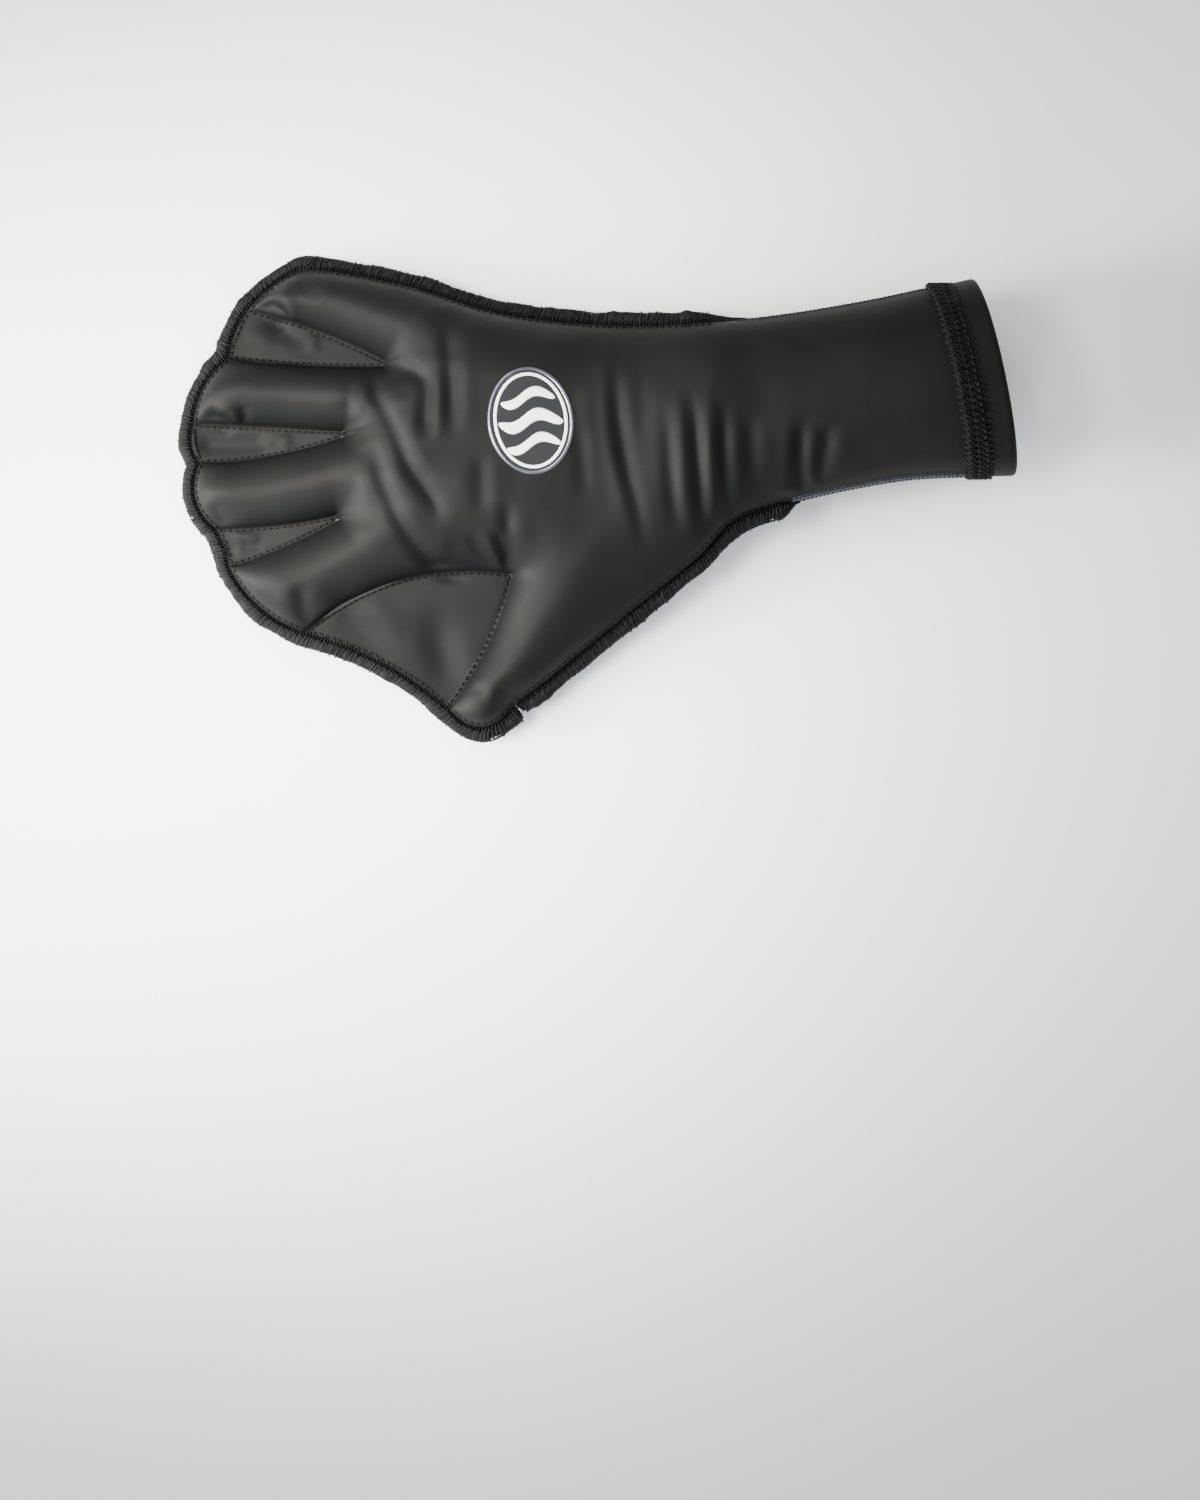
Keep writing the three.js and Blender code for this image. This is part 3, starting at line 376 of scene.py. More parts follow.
class GlovePlan:
    """The glove's plan and sections, as the CAD part has them, for whole arrays of stations and columns."""

    OUTLINE_STEPS = 64
    FLAT_BLEND = 0.8

    def __init__(self) -> None:
        """Work out the edges, the rails of the webs and the outlines that the heights are measured from."""
        self.little = np.array([p.mm() for p in LITTLE_EDGE])
        self.thumb = np.array([p.mm() for p in THUMB_EDGE])
        self.rails = [("edge", self.little, 0.0)]
        for web in WEBS:
            self.rails += self._web_rails(web)
        self.rails.append(("edge", self.thumb, 1.0))
        self.last_column = len(self.rails) - 1
        share = np.linspace(0, 1, self.OUTLINE_STEPS + 1)
        self.web_outlines = []
        for k in range(1, self.last_column, 2):
            near, far = (self._stitches(self.rails[k + j], share) for j in (0, 1))
            self.web_outlines.append(np.vstack([near, far[::-1]]))
        columns = np.linspace(0, self.last_column, self.last_column * 16 + 1)
        self.tip_line = self.at(np.full_like(columns, TIP), columns)["place"]

    def _web_rails(self, web: Web) -> list:
        """The two stitch lines of a web, with the way that each takes through the hand to the cuff.

        Args:
            web: The web.

        Returns:
            Two rails: kind, points from the cuff to the root, share round the arm, root, end and bow.
        """
        rails = []
        thumb_root = WEBS[-1].apex.mm()
        for side, (end, bow) in enumerate(((web.near, web.near_bow), (web.far, web.far_bow))):
            step = np.array([0, WEB_ROOT * (0.5 - side)])
            root = web.apex.mm() + step
            stations = np.arange(web.root + 1, dtype=float)
            little = line_at(self.little, stations)
            thumb = line_at(self.thumb, stations)
            hand = little + (thumb - little) * web.share + step
            if web.root > CROTCH:
                hand[CROTCH] = little[CROTCH] + (thumb_root - little[CROTCH]) * web.crotch_share + step
            hand[web.root] = root
            share = web.share + RAIL_SPREAD * (2 * side - 1)
            rails.append(("web", hand, share, root, end.mm(), bow))
        return rails

    def _stitches(self, rail: tuple, share: np.ndarray) -> np.ndarray:
        """Points of a web rail's stitched part."""
        return bow_at(rail[3], rail[4], rail[5], share)

    def rail_at(self, k: int, station: np.ndarray) -> np.ndarray:
        """Where a rail crosses stations.

        Args:
            k: Number of the rail, from the little-finger side.
            station: The stations.

        Returns:
            One place for each station.
        """
        rail = self.rails[k]
        if rail[0] == "edge":
            return line_at(rail[1], station)
        root = len(rail[1]) - 1
        hand = line_at(rail[1], np.minimum(station, root))
        share = np.clip((station - root) / (TIP - root), 0, 1)
        return np.where((station <= root)[..., None], hand, self._stitches(rail, share))

    def at(self, station: np.ndarray, column: np.ndarray) -> dict:
        """The plan under stations and columns.

        Args:
            station: Stations from the cuff (0) to the fingertips (6).
            column: Columns from the little-finger side (0) to the thumb side (9).

        Returns:
            place, and the distances from the two side edges, each in millimetres.
        """
        span = np.clip(np.floor(column).astype(int), 0, self.last_column - 1)
        share = column - span
        lines = np.stack([self.rail_at(k, station) for k in range(self.last_column + 1)])
        near = np.take_along_axis(lines, span[None, ..., None], axis=0)[0]
        far = np.take_along_axis(lines, span[None, ..., None] + 1, axis=0)[0]
        place = near + (far - near) * share[..., None]
        bulge = TIP_BULGE[span] * np.clip(station - KNUCKLE, 0, 1) ** 3 * 4 * share * (1 - share)
        chord = near - far
        outwards = np.stack([-chord[..., 1], chord[..., 0]], axis=-1)
        place = place + outwards * bulge[..., None]
        arm = smooth(HEEL + 0.6 - station, 0, 1.4)[..., None]
        shares = np.array([rail[2] for rail in self.rails])
        turn = shares[span] + (shares[span + 1] - shares[span]) * share
        round_share = ((1 - np.cos(np.pi * turn)) / 2)[..., None]
        little, thumb = lines[0], lines[-1]
        place = place + (little + (thumb - little) * round_share - place) * arm
        return {
            "place": place,
            "from_little": np.linalg.norm(place - little, axis=-1),
            "from_thumb": np.linalg.norm(place - thumb, axis=-1),
        }

    def section(self, plan: dict) -> dict:
        """Seam height, both bulges and the seams' softness under the plan's places, in millimetres.

        Args:
            plan: What at gives.

        Returns:
            seam, back, palm and soft, each of the plan's shape.
        """
        centre = PALM_CENTRE.mm()
        place = plan["place"]
        fingers = np.linalg.norm(place - centre, axis=-1) / FINGER_REACH
        arm = np.maximum(place[..., 0] - centre[0], 0) / ARM_REACH
        share = smooth(arm, 0.08, 0.4)
        out = {}
        for key in ("seam", "back", "palm"):
            hand = HAND_DEPTH * table_at(HAND_TABLE, key, fingers)
            out[key] = hand + (CUFF_DEPTH * table_at(ARM_TABLE, key, arm) - hand) * share
        soft = HAND_DEPTH * table_at(HAND_TABLE, "soft", fingers)
        half = (plan["from_little"] + plan["from_thumb"]) / 2
        out["soft"] = soft + (half - soft) * share
        return out

    def flange(self, station: np.ndarray) -> np.ndarray:
        """1 where the side seams stand out as a flange, 0 where the panels meet edge to edge."""
        return smooth(station, WRIST - 0.1, WRIST + 0.4)

    def bulge(self, plan: dict, soft: np.ndarray) -> np.ndarray:
        """The share of its full bulge that a panel has.

        Args:
            plan: What at gives.
            soft: How far from a seam the panel reaches its full height.

        Returns:
            Shares from 0 on the seams and webs to 1.
        """
        value = rise(plan["from_little"], soft) * rise(plan["from_thumb"], soft)
        flat = np.zeros(value.shape, bool)
        for outline in self.web_outlines:
            value *= rise(distance_to_line(plan["place"], outline)[0], soft)
            flat |= inside_ring(plan["place"], outline)
        value *= rise(distance_to_line(plan["place"], self.tip_line)[0], soft)
        return np.where(flat, 0.0, value)

    def web_mask(self, place: np.ndarray, fade: float) -> np.ndarray:
        """1 well inside the webs, 0 from their stitch lines on.

        Args:
            place: Places on the plan.
            fade: Distance from a stitch line over which the mask rises.

        Returns:
            Shares from 0 to 1.
        """
        mask = np.zeros(place.shape[:-1])
        for outline in self.web_outlines:
            half = len(outline) // 2
            near = distance_to_line(place, outline[:half])[0]
            far = distance_to_line(place, outline[half:])[0]
            inner = smooth(np.minimum(near, far), 0, fade)
            mask = np.maximum(mask, np.where(inside_ring(place, outline), inner, 0.0))
        return mask

    def stitch_distance(self, place: np.ndarray) -> np.ndarray:
        """Distance from the nearest web stitch line."""
        return np.min([distance_to_line(place, outline)[0] for outline in self.web_outlines], axis=0)


def fold_field(place: np.ndarray, folds: Sequence[Fold]) -> np.ndarray:
    """Height of a set of folds over places on the plan, in millimetres.

    Args:
        place: Places on the plan.
        folds: The folds.

    Returns:
        Heights of the places' shape.
    """
    height = np.zeros(place.shape[:-1])
    for fold in folds:
        marks = np.array(fold.line) * np.array([GLOVE_LENGTH, HAND_SPREAD])
        line = line_at(marks, np.linspace(0, len(marks) - 1, 8 * (len(marks) - 1) + 1))
        reach = 3.2 * fold.width
        low, high = line.min(axis=0) - reach, line.max(axis=0) + reach
        near = np.all((place > low) & (place < high), axis=-1)
        if not near.any():
            continue
        distance, where = distance_to_line(place[near], line)
        ends = smooth(where, 0, fold.fade) * smooth(1 - where, 0, fold.fade)
        height[near] += fold.rise * ends * np.exp(-((distance / fold.width) ** 2))
    return height


def cross_normals(points: np.ndarray) -> np.ndarray:
    """Unit normals of a grid of points, from differences along its rows and columns.

    Args:
        points: A grid of points.

    Returns:
        A grid of normals.
    """
    along = np.gradient(points, axis=0)
    across = np.gradient(points, axis=1)
    normal = np.cross(along, across)
    return normal / np.maximum(np.linalg.norm(normal, axis=-1, keepdims=True), 1e-12)


def noise_2d(place: np.ndarray, cell: float, seed: int) -> np.ndarray:
    """Smooth value noise from -1 to 1 on the plan, with a fixed seed.

    Args:
        place: Places on the plan.
        cell: Size of the noise, in millimetres.
        seed: Seed of its values.

    Returns:
        Noise of the places' shape.
    """
    rng = np.random.default_rng(seed)
    grid = rng.uniform(-1, 1, (64, 64))
    q = place / cell + 200.37
    i = np.floor(q).astype(int)
    t = q - i
    t = t * t * (3 - 2 * t)
    a = grid[i[..., 0] % 64, i[..., 1] % 64]
    b = grid[(i[..., 0] + 1) % 64, i[..., 1] % 64]
    c = grid[i[..., 0] % 64, (i[..., 1] + 1) % 64]
    d = grid[(i[..., 0] + 1) % 64, (i[..., 1] + 1) % 64]
    x, y = t[..., 0], t[..., 1]
    return a * (1 - x) * (1 - y) + b * x * (1 - y) + c * (1 - x) * y + d * x * y


@dataclass
class GloveSkin:
    """Fine surfaces of the two panels over a grid of stations and columns.

    The rows run from the cuff to the fingertips, the columns from the little-finger side to the thumb side.
    """

    plan: GlovePlan
    row_counts: tuple = (28, 36, 64, 48, 48, 64)
    finger_columns: int = 40
    web_columns: tuple = (14, 14, 14, 30)
    lip: float = 1.7
    stitch_depth: float = 0.25
    stitch_width: float = 0.9
    origin: np.ndarray = field(default_factory=lambda: np.zeros(2))

    def __post_init__(self) -> None:
        """Set out the grid and the plan under it."""
        rows = [np.array([0.0])]
        for stretch, count in enumerate(self.row_counts):
            share = np.linspace(0, 1, count + 1)[1:]
            if stretch == 0:
                share = share ** 1.6
            rows.append(stretch + share)
        self.stations = np.concatenate(rows)
        columns = [np.array([0.0])]
        for span in range(self.plan.last_column):
            if span % 2 == 0:
                share = np.linspace(0, 1, self.finger_columns + 1)[1:]
                share = 0.55 * share + 0.45 * (1 - np.cos(np.pi * share)) / 2
            else:
                share = np.linspace(0, 1, self.web_columns[(span - 1) // 2] + 1)[1:]
            columns.append(span + share)
        self.columns = np.concatenate(columns)
        self.grid_s, self.grid_c = np.meshgrid(self.stations, self.columns, indexing="ij")
        self.ground = self.plan.at(self.grid_s, self.grid_c)
        self.sections = self.plan.section(self.ground)
        self.share = self.plan.bulge(self.ground, self.sections["soft"])
        self.middle = self.sections["seam"] + self.ruffle(self.ground["place"])

    def ruffle(self, place: np.ndarray) -> np.ndarray:
        """How far both layers of the webs wave up and down together."""
        mask = self.plan.web_mask(place, 2.2)
        return fold_field(place, WEB_FOLDS) * mask

    def edge_normal(self, side: Side) -> np.ndarray:
        """Normals that replace the measured ones on the side seams and the fingertip edge.

        Args:
            side: Which panel.

        Returns:
            A grid of normals, of use on its borders alone.
        """
        normal = np.zeros(self.grid_s.shape + (3,))
        flange = self.plan.flange(self.grid_s)
        flange[-1, :] = 1.0
        for edge, inner in ((0, 1), (-1, -2)):
            k_edge = 0 if edge == 0 else self.plan.last_column
            k_inner = 1 if edge == 0 else self.plan.last_column - 1
            level = self.plan.rail_at(k_edge, self.stations) - self.plan.rail_at(k_inner, self.stations)
            level /= np.linalg.norm(level, axis=-1, keepdims=True)
            share = np.sqrt(np.maximum(1 - flange[:, edge] ** 2, 0))
            normal[:, edge, :2] = level * share[:, None]
            normal[:, edge, 2] = side.value * flange[:, edge]
        normal[-1, :, 2] = side.value
        return normal

    def surface(self, side: Side) -> tuple:
        """The outside and the inside of a panel.

        Args:
            side: Which panel.

        Returns:
            Two grids of points in millimetres on the plan.
        """
        place = self.ground["place"]
        height = self.sections["back" if side is Side.BACK else "palm"] * self.share
        flange = self.plan.flange(self.grid_s)
        z = self.middle + side.value * (LAYER_GAP / 2 + WALL * flange + height)
        if side is Side.PALM:
            e = self.plan.FLAT_BLEND
            z = np.where(z >= e, z, np.where(z <= -e, 0.0, (z + e) ** 2 / (4 * e)))
        base = np.concatenate([place, z[..., None]], axis=-1)
        normal = cross_normals(base)
        normal *= np.sign(normal[..., 2:3] * side.value + 1e-9)
        edges = self.edge_normal(side)
        for where in (np.s_[:, 0], np.s_[:, -1], np.s_[-1, :]):
            normal[where] = edges[where]
        wall = self.wall()
        inner = base + normal * (self.folds(side) - wall)[..., None]
        mating = self.middle + side.value * LAYER_GAP / 2
        if side is Side.BACK:
            inner[..., 2] = np.maximum(inner[..., 2], mating)
        else:
            inner[..., 2] = np.minimum(inner[..., 2], mating)
        outer = base + normal * self.relief(side)[..., None]
        if side is Side.PALM:
            outer[..., 2] = np.maximum(outer[..., 2], 0.0)
        lip = self.lip_drop()
        outer -= normal * lip[..., None]
        inner += normal * lip[..., None]
        return outer, inner

    def from_end(self) -> np.ndarray:
        """Distance from the cuff's end, in millimetres."""
        first = self.plan.rail_at(0, np.array([0.0, 1.0]))
        return self.grid_s * np.linalg.norm(first[1] - first[0])

    def wall(self) -> np.ndarray:
        """Wall thickness, thicker where the hem is turned back."""
        turned = 1 - smooth(self.from_end(), HEM_DEPTH - HEM_BLEND, HEM_DEPTH + HEM_BLEND)
        return WALL * (1 + HEM_FOLD_GAIN * turned)

    def lip_drop(self) -> np.ndarray:
        """How far the cuff's rim rounds off, in millimetres."""
        inward = np.clip(self.lip - self.from_end(), 0, self.lip)
        return self.lip - np.sqrt(np.maximum(self.lip ** 2 - inward ** 2, 0))

    def seam_fade(self, reach: float = 9.0) -> np.ndarray:
        """0 on the side seams, 1 well inside them."""
        return smooth(self.ground["from_little"], 0, reach) * smooth(self.ground["from_thumb"], 0, reach)

    def folds(self, side: Side) -> np.ndarray:
        """Height of a panel's folds, in millimetres.

        Args:
            side: Which panel.

        Returns:
            A grid of heights along the normals.
        """
        lines = BACK_FOLDS if side is Side.BACK else PALM_FOLDS
        place = self.ground["place"]
        tips = smooth(TIP - self.grid_s, 0, 0.14)
        sewn = smooth(self.plan.stitch_distance(place), 0.0, 2.4)
        return fold_field(place, lines) * self.seam_fade(5.5) * tips * sewn

    def relief(self, side: Side) -> np.ndarray:
        """Folds, stitch grooves and slight unevenness of a panel, along its normals, in millimetres.

        Args:
            side: Which panel.

        Returns:
            A grid of heights.
        """
        place = self.ground["place"]
        near_edge = self.seam_fade()
        tips = smooth(TIP - self.grid_s, 0, 0.14)
        height = self.folds(side)
        stitch = self.plan.stitch_distance(place)
        on_web = (self.grid_s > KNUCKLE - 1.2) * tips
        height -= self.stitch_depth * np.exp(-((stitch / self.stitch_width) ** 2)) * on_web
        uneven = noise_2d(place, 21.0, 3) * 0.35 + noise_2d(place, 9.0, 5) * 0.14
        height += uneven * near_edge * tips
        hem_edge = np.exp(-(((self.from_end() - HEM_DEPTH - 0.3) / 1.3) ** 2))
        return height - 0.35 * hem_edge


def mesh_object(name: str, points: np.ndarray, faces: Sequence) -> bpy.types.Object:
    """A mesh object with its place in its mesh.

    Args:
        name: The piece's name.
        points: Points in millimetres in the part's frame.
        faces: Faces as lists of point numbers.

    Returns:
        The object, linked to the scene.
    """
    mesh = bpy.data.meshes.new(name)
    mesh.from_pydata((np.asarray(points) * MM).tolist(), [], [list(map(int, f)) for f in faces])
    mesh.validate()
    mesh.shade_smooth()
    obj = bpy.data.objects.new(name, mesh)
    bpy.context.scene.collection.objects.link(obj)
    return obj


def grid_faces(rows: int, columns: int, start: int = 0, flip: bool = False) -> np.ndarray:
    """Quads of a grid of points that are numbered row by row.

    Args:
        rows: How many rows.
        columns: How many columns.
        start: Number of the first point.
        flip: Whether the faces are turned over.

    Returns:
        Four point numbers for each face.
    """
    i, j = np.meshgrid(np.arange(rows - 1), np.arange(columns - 1), indexing="ij")
    a = start + i * columns + j
    quads = np.stack([a, a + 1, a + columns + 1, a + columns], axis=-1).reshape(-1, 4)
    return quads[:, ::-1] if flip else quads


def zip_edges(fine: np.ndarray, coarse: np.ndarray, step: int, flip: bool) -> list:
    """Triangles between a fine edge and a coarse one that has one point for every step of the fine one.

    Args:
        fine: Point numbers of the fine edge.
        coarse: Point numbers of the coarse edge.
        step: Fine points to each coarse one.
        flip: Whether the faces are turned over.

    Returns:
        Faces as lists of point numbers.
    """
    faces = []
    for k in range(len(coarse) - 1):
        middle = k * step + step // 2
        for i in range(k * step, (k + 1) * step):
            pivot = coarse[k] if i < middle else coarse[k + 1]
            faces.append([fine[i], fine[i + 1], pivot])
        faces.append([coarse[k], fine[middle], coarse[k + 1]])
    return [f[::-1] for f in faces] if flip else faces


@dataclass
class Panel:
    """One neoprene panel: a fine outside, a coarser inside and the edges between them."""

    skin: GloveSkin
    side: Side
    name: str
    node: str
    inside_step: int = 4

    def build(self, neoprene: bpy.types.Material, lining: bpy.types.Material) -> bpy.types.Object:
        """Build the panel and dress its outside and inside.

        Args:
            neoprene: Material of the outside and the edges.
            lining: Material of the inside.

        Returns:
            The piece.
        """
        outer, inner = self.skin.surface(self.side)
        self.outer = outer
        rows, columns = outer.shape[:2]
        coarse = inner[:: self.inside_step, :: self.inside_step]
        coarse_rows, coarse_columns = coarse.shape[:2]
        points = np.vstack([outer.reshape(-1, 3), coarse.reshape(-1, 3)])
        points[:, :2] += self.skin.origin
        flip = self.side is Side.PALM
        start = rows * columns
        faces = [list(f) for f in grid_faces(rows, columns, 0, not flip)]
        outside_count = len(faces)
        inside = grid_faces(coarse_rows, coarse_columns, start, flip)
        faces += [list(f) for f in inside]
        fine_at = np.arange(rows * columns).reshape(rows, columns)
        coarse_at = start + np.arange(coarse_rows * coarse_columns).reshape(coarse_rows, coarse_columns)
        edges = (
            (fine_at[0], coarse_at[0], flip), (fine_at[-1], coarse_at[-1], not flip),
            (fine_at[:, 0], coarse_at[:, 0], not flip), (fine_at[:, -1], coarse_at[:, -1], flip),
        )
        for fine, low, turned in edges:
            faces += zip_edges(fine, low, self.inside_step, turned)
        obj = mesh_object(self.name, points, faces)
        obj.data.materials.append(neoprene)
        obj.data.materials.append(lining)
        slots = np.zeros(len(obj.data.polygons), np.int32)
        slots[outside_count : outside_count + len(inside)] = 1
        obj.data.polygons.foreach_set("material_index", slots)
        return dress(obj, "neoprene", self.node)


Value = Union[float, bpy.types.NodeSocket]


class Nodes:
    """A small helper that adds and joins nodes of a tree."""

    def __init__(self, tree: bpy.types.NodeTree) -> None:
        """Keep the tree."""
        self.tree = tree

    def add(self, kind: str, inputs: Optional[dict] = None, **settings: Any) -> bpy.types.Node:
        """Add a node.

        Args:
            kind: The node's type name.
            inputs: Values or output sockets for its inputs, by name or number.
            settings: Properties of the node.

        Returns:
            The node.
        """
        node = self.tree.nodes.new(kind)
        for key, value in settings.items():
            setattr(node, key, value)
        for key, value in (inputs or {}).items():
            socket = node.inputs[key]
            if isinstance(value, bpy.types.NodeSocket):
                self.tree.links.new(value, socket)
            else:
                socket.default_value = value
        return node

    def math(self, operation: str, a: Value, b: Value = 0.0) -> bpy.types.NodeSocket:
        """A Math node's output."""
        return self.add("ShaderNodeMath", {0: a, 1: b}, operation=operation).outputs[0]

    def link(self, output: bpy.types.NodeSocket, socket: bpy.types.NodeSocket) -> None:
        """Join an output to an input."""
        self.tree.links.new(output, socket)


def shader_group(name: str, inputs: dict, outputs: Sequence[str]) -> tuple:
    """A shader node group with number inputs and number outputs.

    Args:
        name: The group's name.
        inputs: Socket name to default value.
        outputs: Names of the outputs.

    Returns:
        The group, its helper, the input node and the output node.
    """
    group = bpy.data.node_groups.new(name, "ShaderNodeTree")
    group.interface.new_socket("Position", in_out="INPUT", socket_type="NodeSocketVector")
    for label, value in inputs.items():
        socket = group.interface.new_socket(label, in_out="INPUT", socket_type="NodeSocketFloat")
        socket.default_value = value
    for label in outputs:
        group.interface.new_socket(label, in_out="OUTPUT", socket_type="NodeSocketFloat")
    nodes = Nodes(group)
    return group, nodes, nodes.add("NodeGroupInput"), nodes.add("NodeGroupOutput")


def grain_group() -> bpy.types.NodeTree:
    """Fine grain drawn out along one way, with broad cloudiness.

    Returns:
        The node group, with Grain and Cloud.
    """
    group, n, given, out = shader_group(
        "fine_grain", {"Scale": 900.0, "Stretch": 5.0, "Cloud Scale": 22.0}, ("Grain", "Cloud")
    )
    stretch = n.add("ShaderNodeCombineXYZ", {1: 1.0, 2: 1.0})
    n.link(n.math("DIVIDE", 1.0, given.outputs["Stretch"]), stretch.inputs[0])
    drawn = n.add(
        "ShaderNodeVectorMath", {0: given.outputs["Position"], 1: stretch.outputs[0]}, operation="MULTIPLY"
    )
    fine = n.add(
        "ShaderNodeTexNoise", {"Vector": drawn.outputs[0], "Scale": given.outputs["Scale"], "Detail": 3.0}
    )
    cloud = n.add(
        "ShaderNodeTexNoise",
        {"Vector": given.outputs["Position"], "Scale": given.outputs["Cloud Scale"], "Detail": 2.0},
    )
    n.link(fine.outputs["Fac"], out.inputs["Grain"])
    n.link(cloud.outputs["Fac"], out.inputs["Cloud"])
    return group


def strand_group() -> bpy.types.NodeTree:
    """Fuzz of spun thread: fine speckle and slow shade changes.

    Returns:
        The node group, with Fuzz and Shade.
    """
    group, n, given, out = shader_group("spun_fuzz", {"Scale": 2600.0}, ("Fuzz", "Shade"))
    fuzz = n.add("ShaderNodeTexNoise", {"Vector": given.outputs["Position"], "Scale": given.outputs["Scale"]})
    slow = n.math("MULTIPLY", given.outputs["Scale"], 0.12)
    shade = n.add("ShaderNodeTexNoise", {"Vector": given.outputs["Position"], "Scale": slow})
    n.link(fuzz.outputs["Fac"], out.inputs["Fuzz"])
    n.link(shade.outputs["Fac"], out.inputs["Shade"])
    return group


GROUPS: dict = {}


def group_named(name: str, maker: Callable) -> bpy.types.NodeTree:
    """A node group that is built once.

    Args:
        name: Name that it is kept under.
        maker: Function that builds it.

    Returns:
        The node group.
    """
    if name not in GROUPS:
        GROUPS[name] = maker()
    return GROUPS[name]


@dataclass(frozen=True)
class Finish:
    """A finish with its colours and gloss. Colours are linear."""

    name: str
    dark: tuple
    light: tuple
    roughness: float
    roughness_spread: float = 0.08
    bump: float = 0.1
    bump_distance: float = 0.0002
    specular: float = 0.5
    sheen: float = 0.0
    coat: float = 0.0
    metallic: float = 0.0

    def pattern(self, n: Nodes, position: bpy.types.NodeSocket) -> tuple:
        """The mask that blends the colours and the one that drives roughness and bump.

        Args:
            n: Helper on the material's tree.
            position: Socket of the place on the piece.

        Returns:
            Two sockets.
        """
        grain = n.add("ShaderNodeGroup", {})
        grain.node_tree = group_named("grain", grain_group)
        n.link(position, grain.inputs["Position"])
        return grain.outputs["Cloud"], grain.outputs["Grain"]

    def build(self) -> bpy.types.Material:
        """Make the material.

        Returns:
            The material, on Object coordinates.
        """
        material = bpy.data.materials.new(self.name)
        material.use_nodes = True
        material.node_tree.nodes.clear()
        n = Nodes(material.node_tree)
        out = n.add("ShaderNodeOutputMaterial")
        shader = n.add("ShaderNodeBsdfPrincipled")
        n.link(shader.outputs[0], out.inputs[0])
        shader.inputs["Specular IOR Level"].default_value = self.specular
        shader.inputs["Sheen Weight"].default_value = self.sheen
        shader.inputs["Sheen Roughness"].default_value = 0.4
        shader.inputs["Coat Roughness"].default_value = 0.08
        shader.inputs["Coat Weight"].default_value = self.coat
        shader.inputs["Metallic"].default_value = self.metallic
        position = n.add("ShaderNodeTexCoord").outputs["Object"]
        shade, grain = self.pattern(n, position)
        ramp = n.add("ShaderNodeValToRGB", {"Fac": shade})
        ramp.color_ramp.elements[0].position = 0.3
        ramp.color_ramp.elements[0].color = (*self.dark, 1)
        ramp.color_ramp.elements[1].position = 0.7
        ramp.color_ramp.elements[1].color = (*self.light, 1)
        n.link(ramp.outputs[0], shader.inputs["Base Color"])
        rough = n.add(
            "ShaderNodeMapRange",
            {"Value": grain, "To Min": self.roughness - self.roughness_spread,
             "To Max": self.roughness + self.roughness_spread},
        )
        n.link(rough.outputs[0], shader.inputs["Roughness"])
        bump = n.add(
            "ShaderNodeBump", {"Height": grain, "Strength": self.bump, "Distance": self.bump_distance}
        )
        n.link(bump.outputs[0], shader.inputs["Normal"])
        return material


@dataclass(frozen=True)
class ThreadFinish(Finish):
    """Spun thread: fuzzy, with slow shade changes."""

    def pattern(self, n: Nodes, position: bpy.types.NodeSocket) -> tuple:
        """The shade and fuzz of the thread.

        Args:
            n: Helper on the material's tree.
            position: Socket of the place on the piece.

        Returns:
            Two sockets.
        """
        strand = n.add("ShaderNodeGroup", {})
        strand.node_tree = group_named("strand", strand_group)
        n.link(position, strand.inputs["Position"])
        return strand.outputs["Shade"], strand.outputs["Fuzz"]


NEOPRENE = Finish(
    "smooth_neoprene", dark=(0.0036, 0.0037, 0.0035), light=(0.005, 0.005, 0.0047),
    roughness=0.57, roughness_spread=0.04, bump=0.16, bump_distance=0.0001, specular=0.09,
)
LINING = Finish(
    "jersey_lining", dark=(0.012, 0.012, 0.013), light=(0.02, 0.02, 0.021),
    roughness=0.9, roughness_spread=0.05, bump=0.3, bump_distance=0.0003,
)
THREAD = ThreadFinish(
    "black_thread", dark=(0.001, 0.001, 0.0012), light=(0.007, 0.007, 0.0075),
    roughness=0.64, roughness_spread=0.12, bump=0.4, bump_distance=0.0001, specular=0.15,
)
# Darker thread: the stitches' own black, and on the overlock cores and the coverstitch bed also painted shade
# in the gaps between loops.
DARK_THREAD_AND_GAP_SHADE = ThreadFinish(
    "seam_thread", dark=(0.0006, 0.0006, 0.0008), light=(0.0025, 0.0025, 0.003),
    roughness=0.65, roughness_spread=0.12, bump=0.4, bump_distance=0.0001, specular=0.12,
)
SEAM_CLOTH = Finish(
    "navy_seam_cloth", dark=(0.006, 0.008, 0.014), light=(0.014, 0.018, 0.028),
    roughness=0.6, roughness_spread=0.08, bump=0.4, bump_distance=0.0002, specular=0.3,
)
FILM = Finish(
    "clear_film", dark=(0.008, 0.0085, 0.0095), light=(0.012, 0.0125, 0.014),
    roughness=0.14, roughness_spread=0.03, bump=0.03, bump_distance=0.0001, specular=0.6,
)
WHITE_PRINT = Finish(
    "white_print", dark=(0.8, 0.8, 0.8), light=(0.85, 0.85, 0.85),
    roughness=0.3, roughness_spread=0.03, bump=0.03, bump_distance=0.0001,
)
SILVER_PRINT = Finish(
    "silver_print", dark=(0.1, 0.105, 0.13), light=(0.3, 0.31, 0.36),
    roughness=0.24, roughness_spread=0.06, bump=0.1, bump_distance=0.0001, metallic=1.0,
)
FLOOR = Finish(
    "pale_floor", dark=(0.95, 0.95, 0.95), light=(0.96, 0.96, 0.96),
    roughness=0.8, roughness_spread=0.05, bump=0.0,
)


def unit(vectors: np.ndarray) -> np.ndarray:
    """Vectors of length 1."""
    return vectors / np.maximum(np.linalg.norm(vectors, axis=-1, keepdims=True), 1e-9)


def arc_lengths(line: np.ndarray) -> np.ndarray:
    """Length of a line up to each of its points."""
    return np.concatenate([[0], np.cumsum(np.linalg.norm(np.diff(line, axis=0), axis=1))])


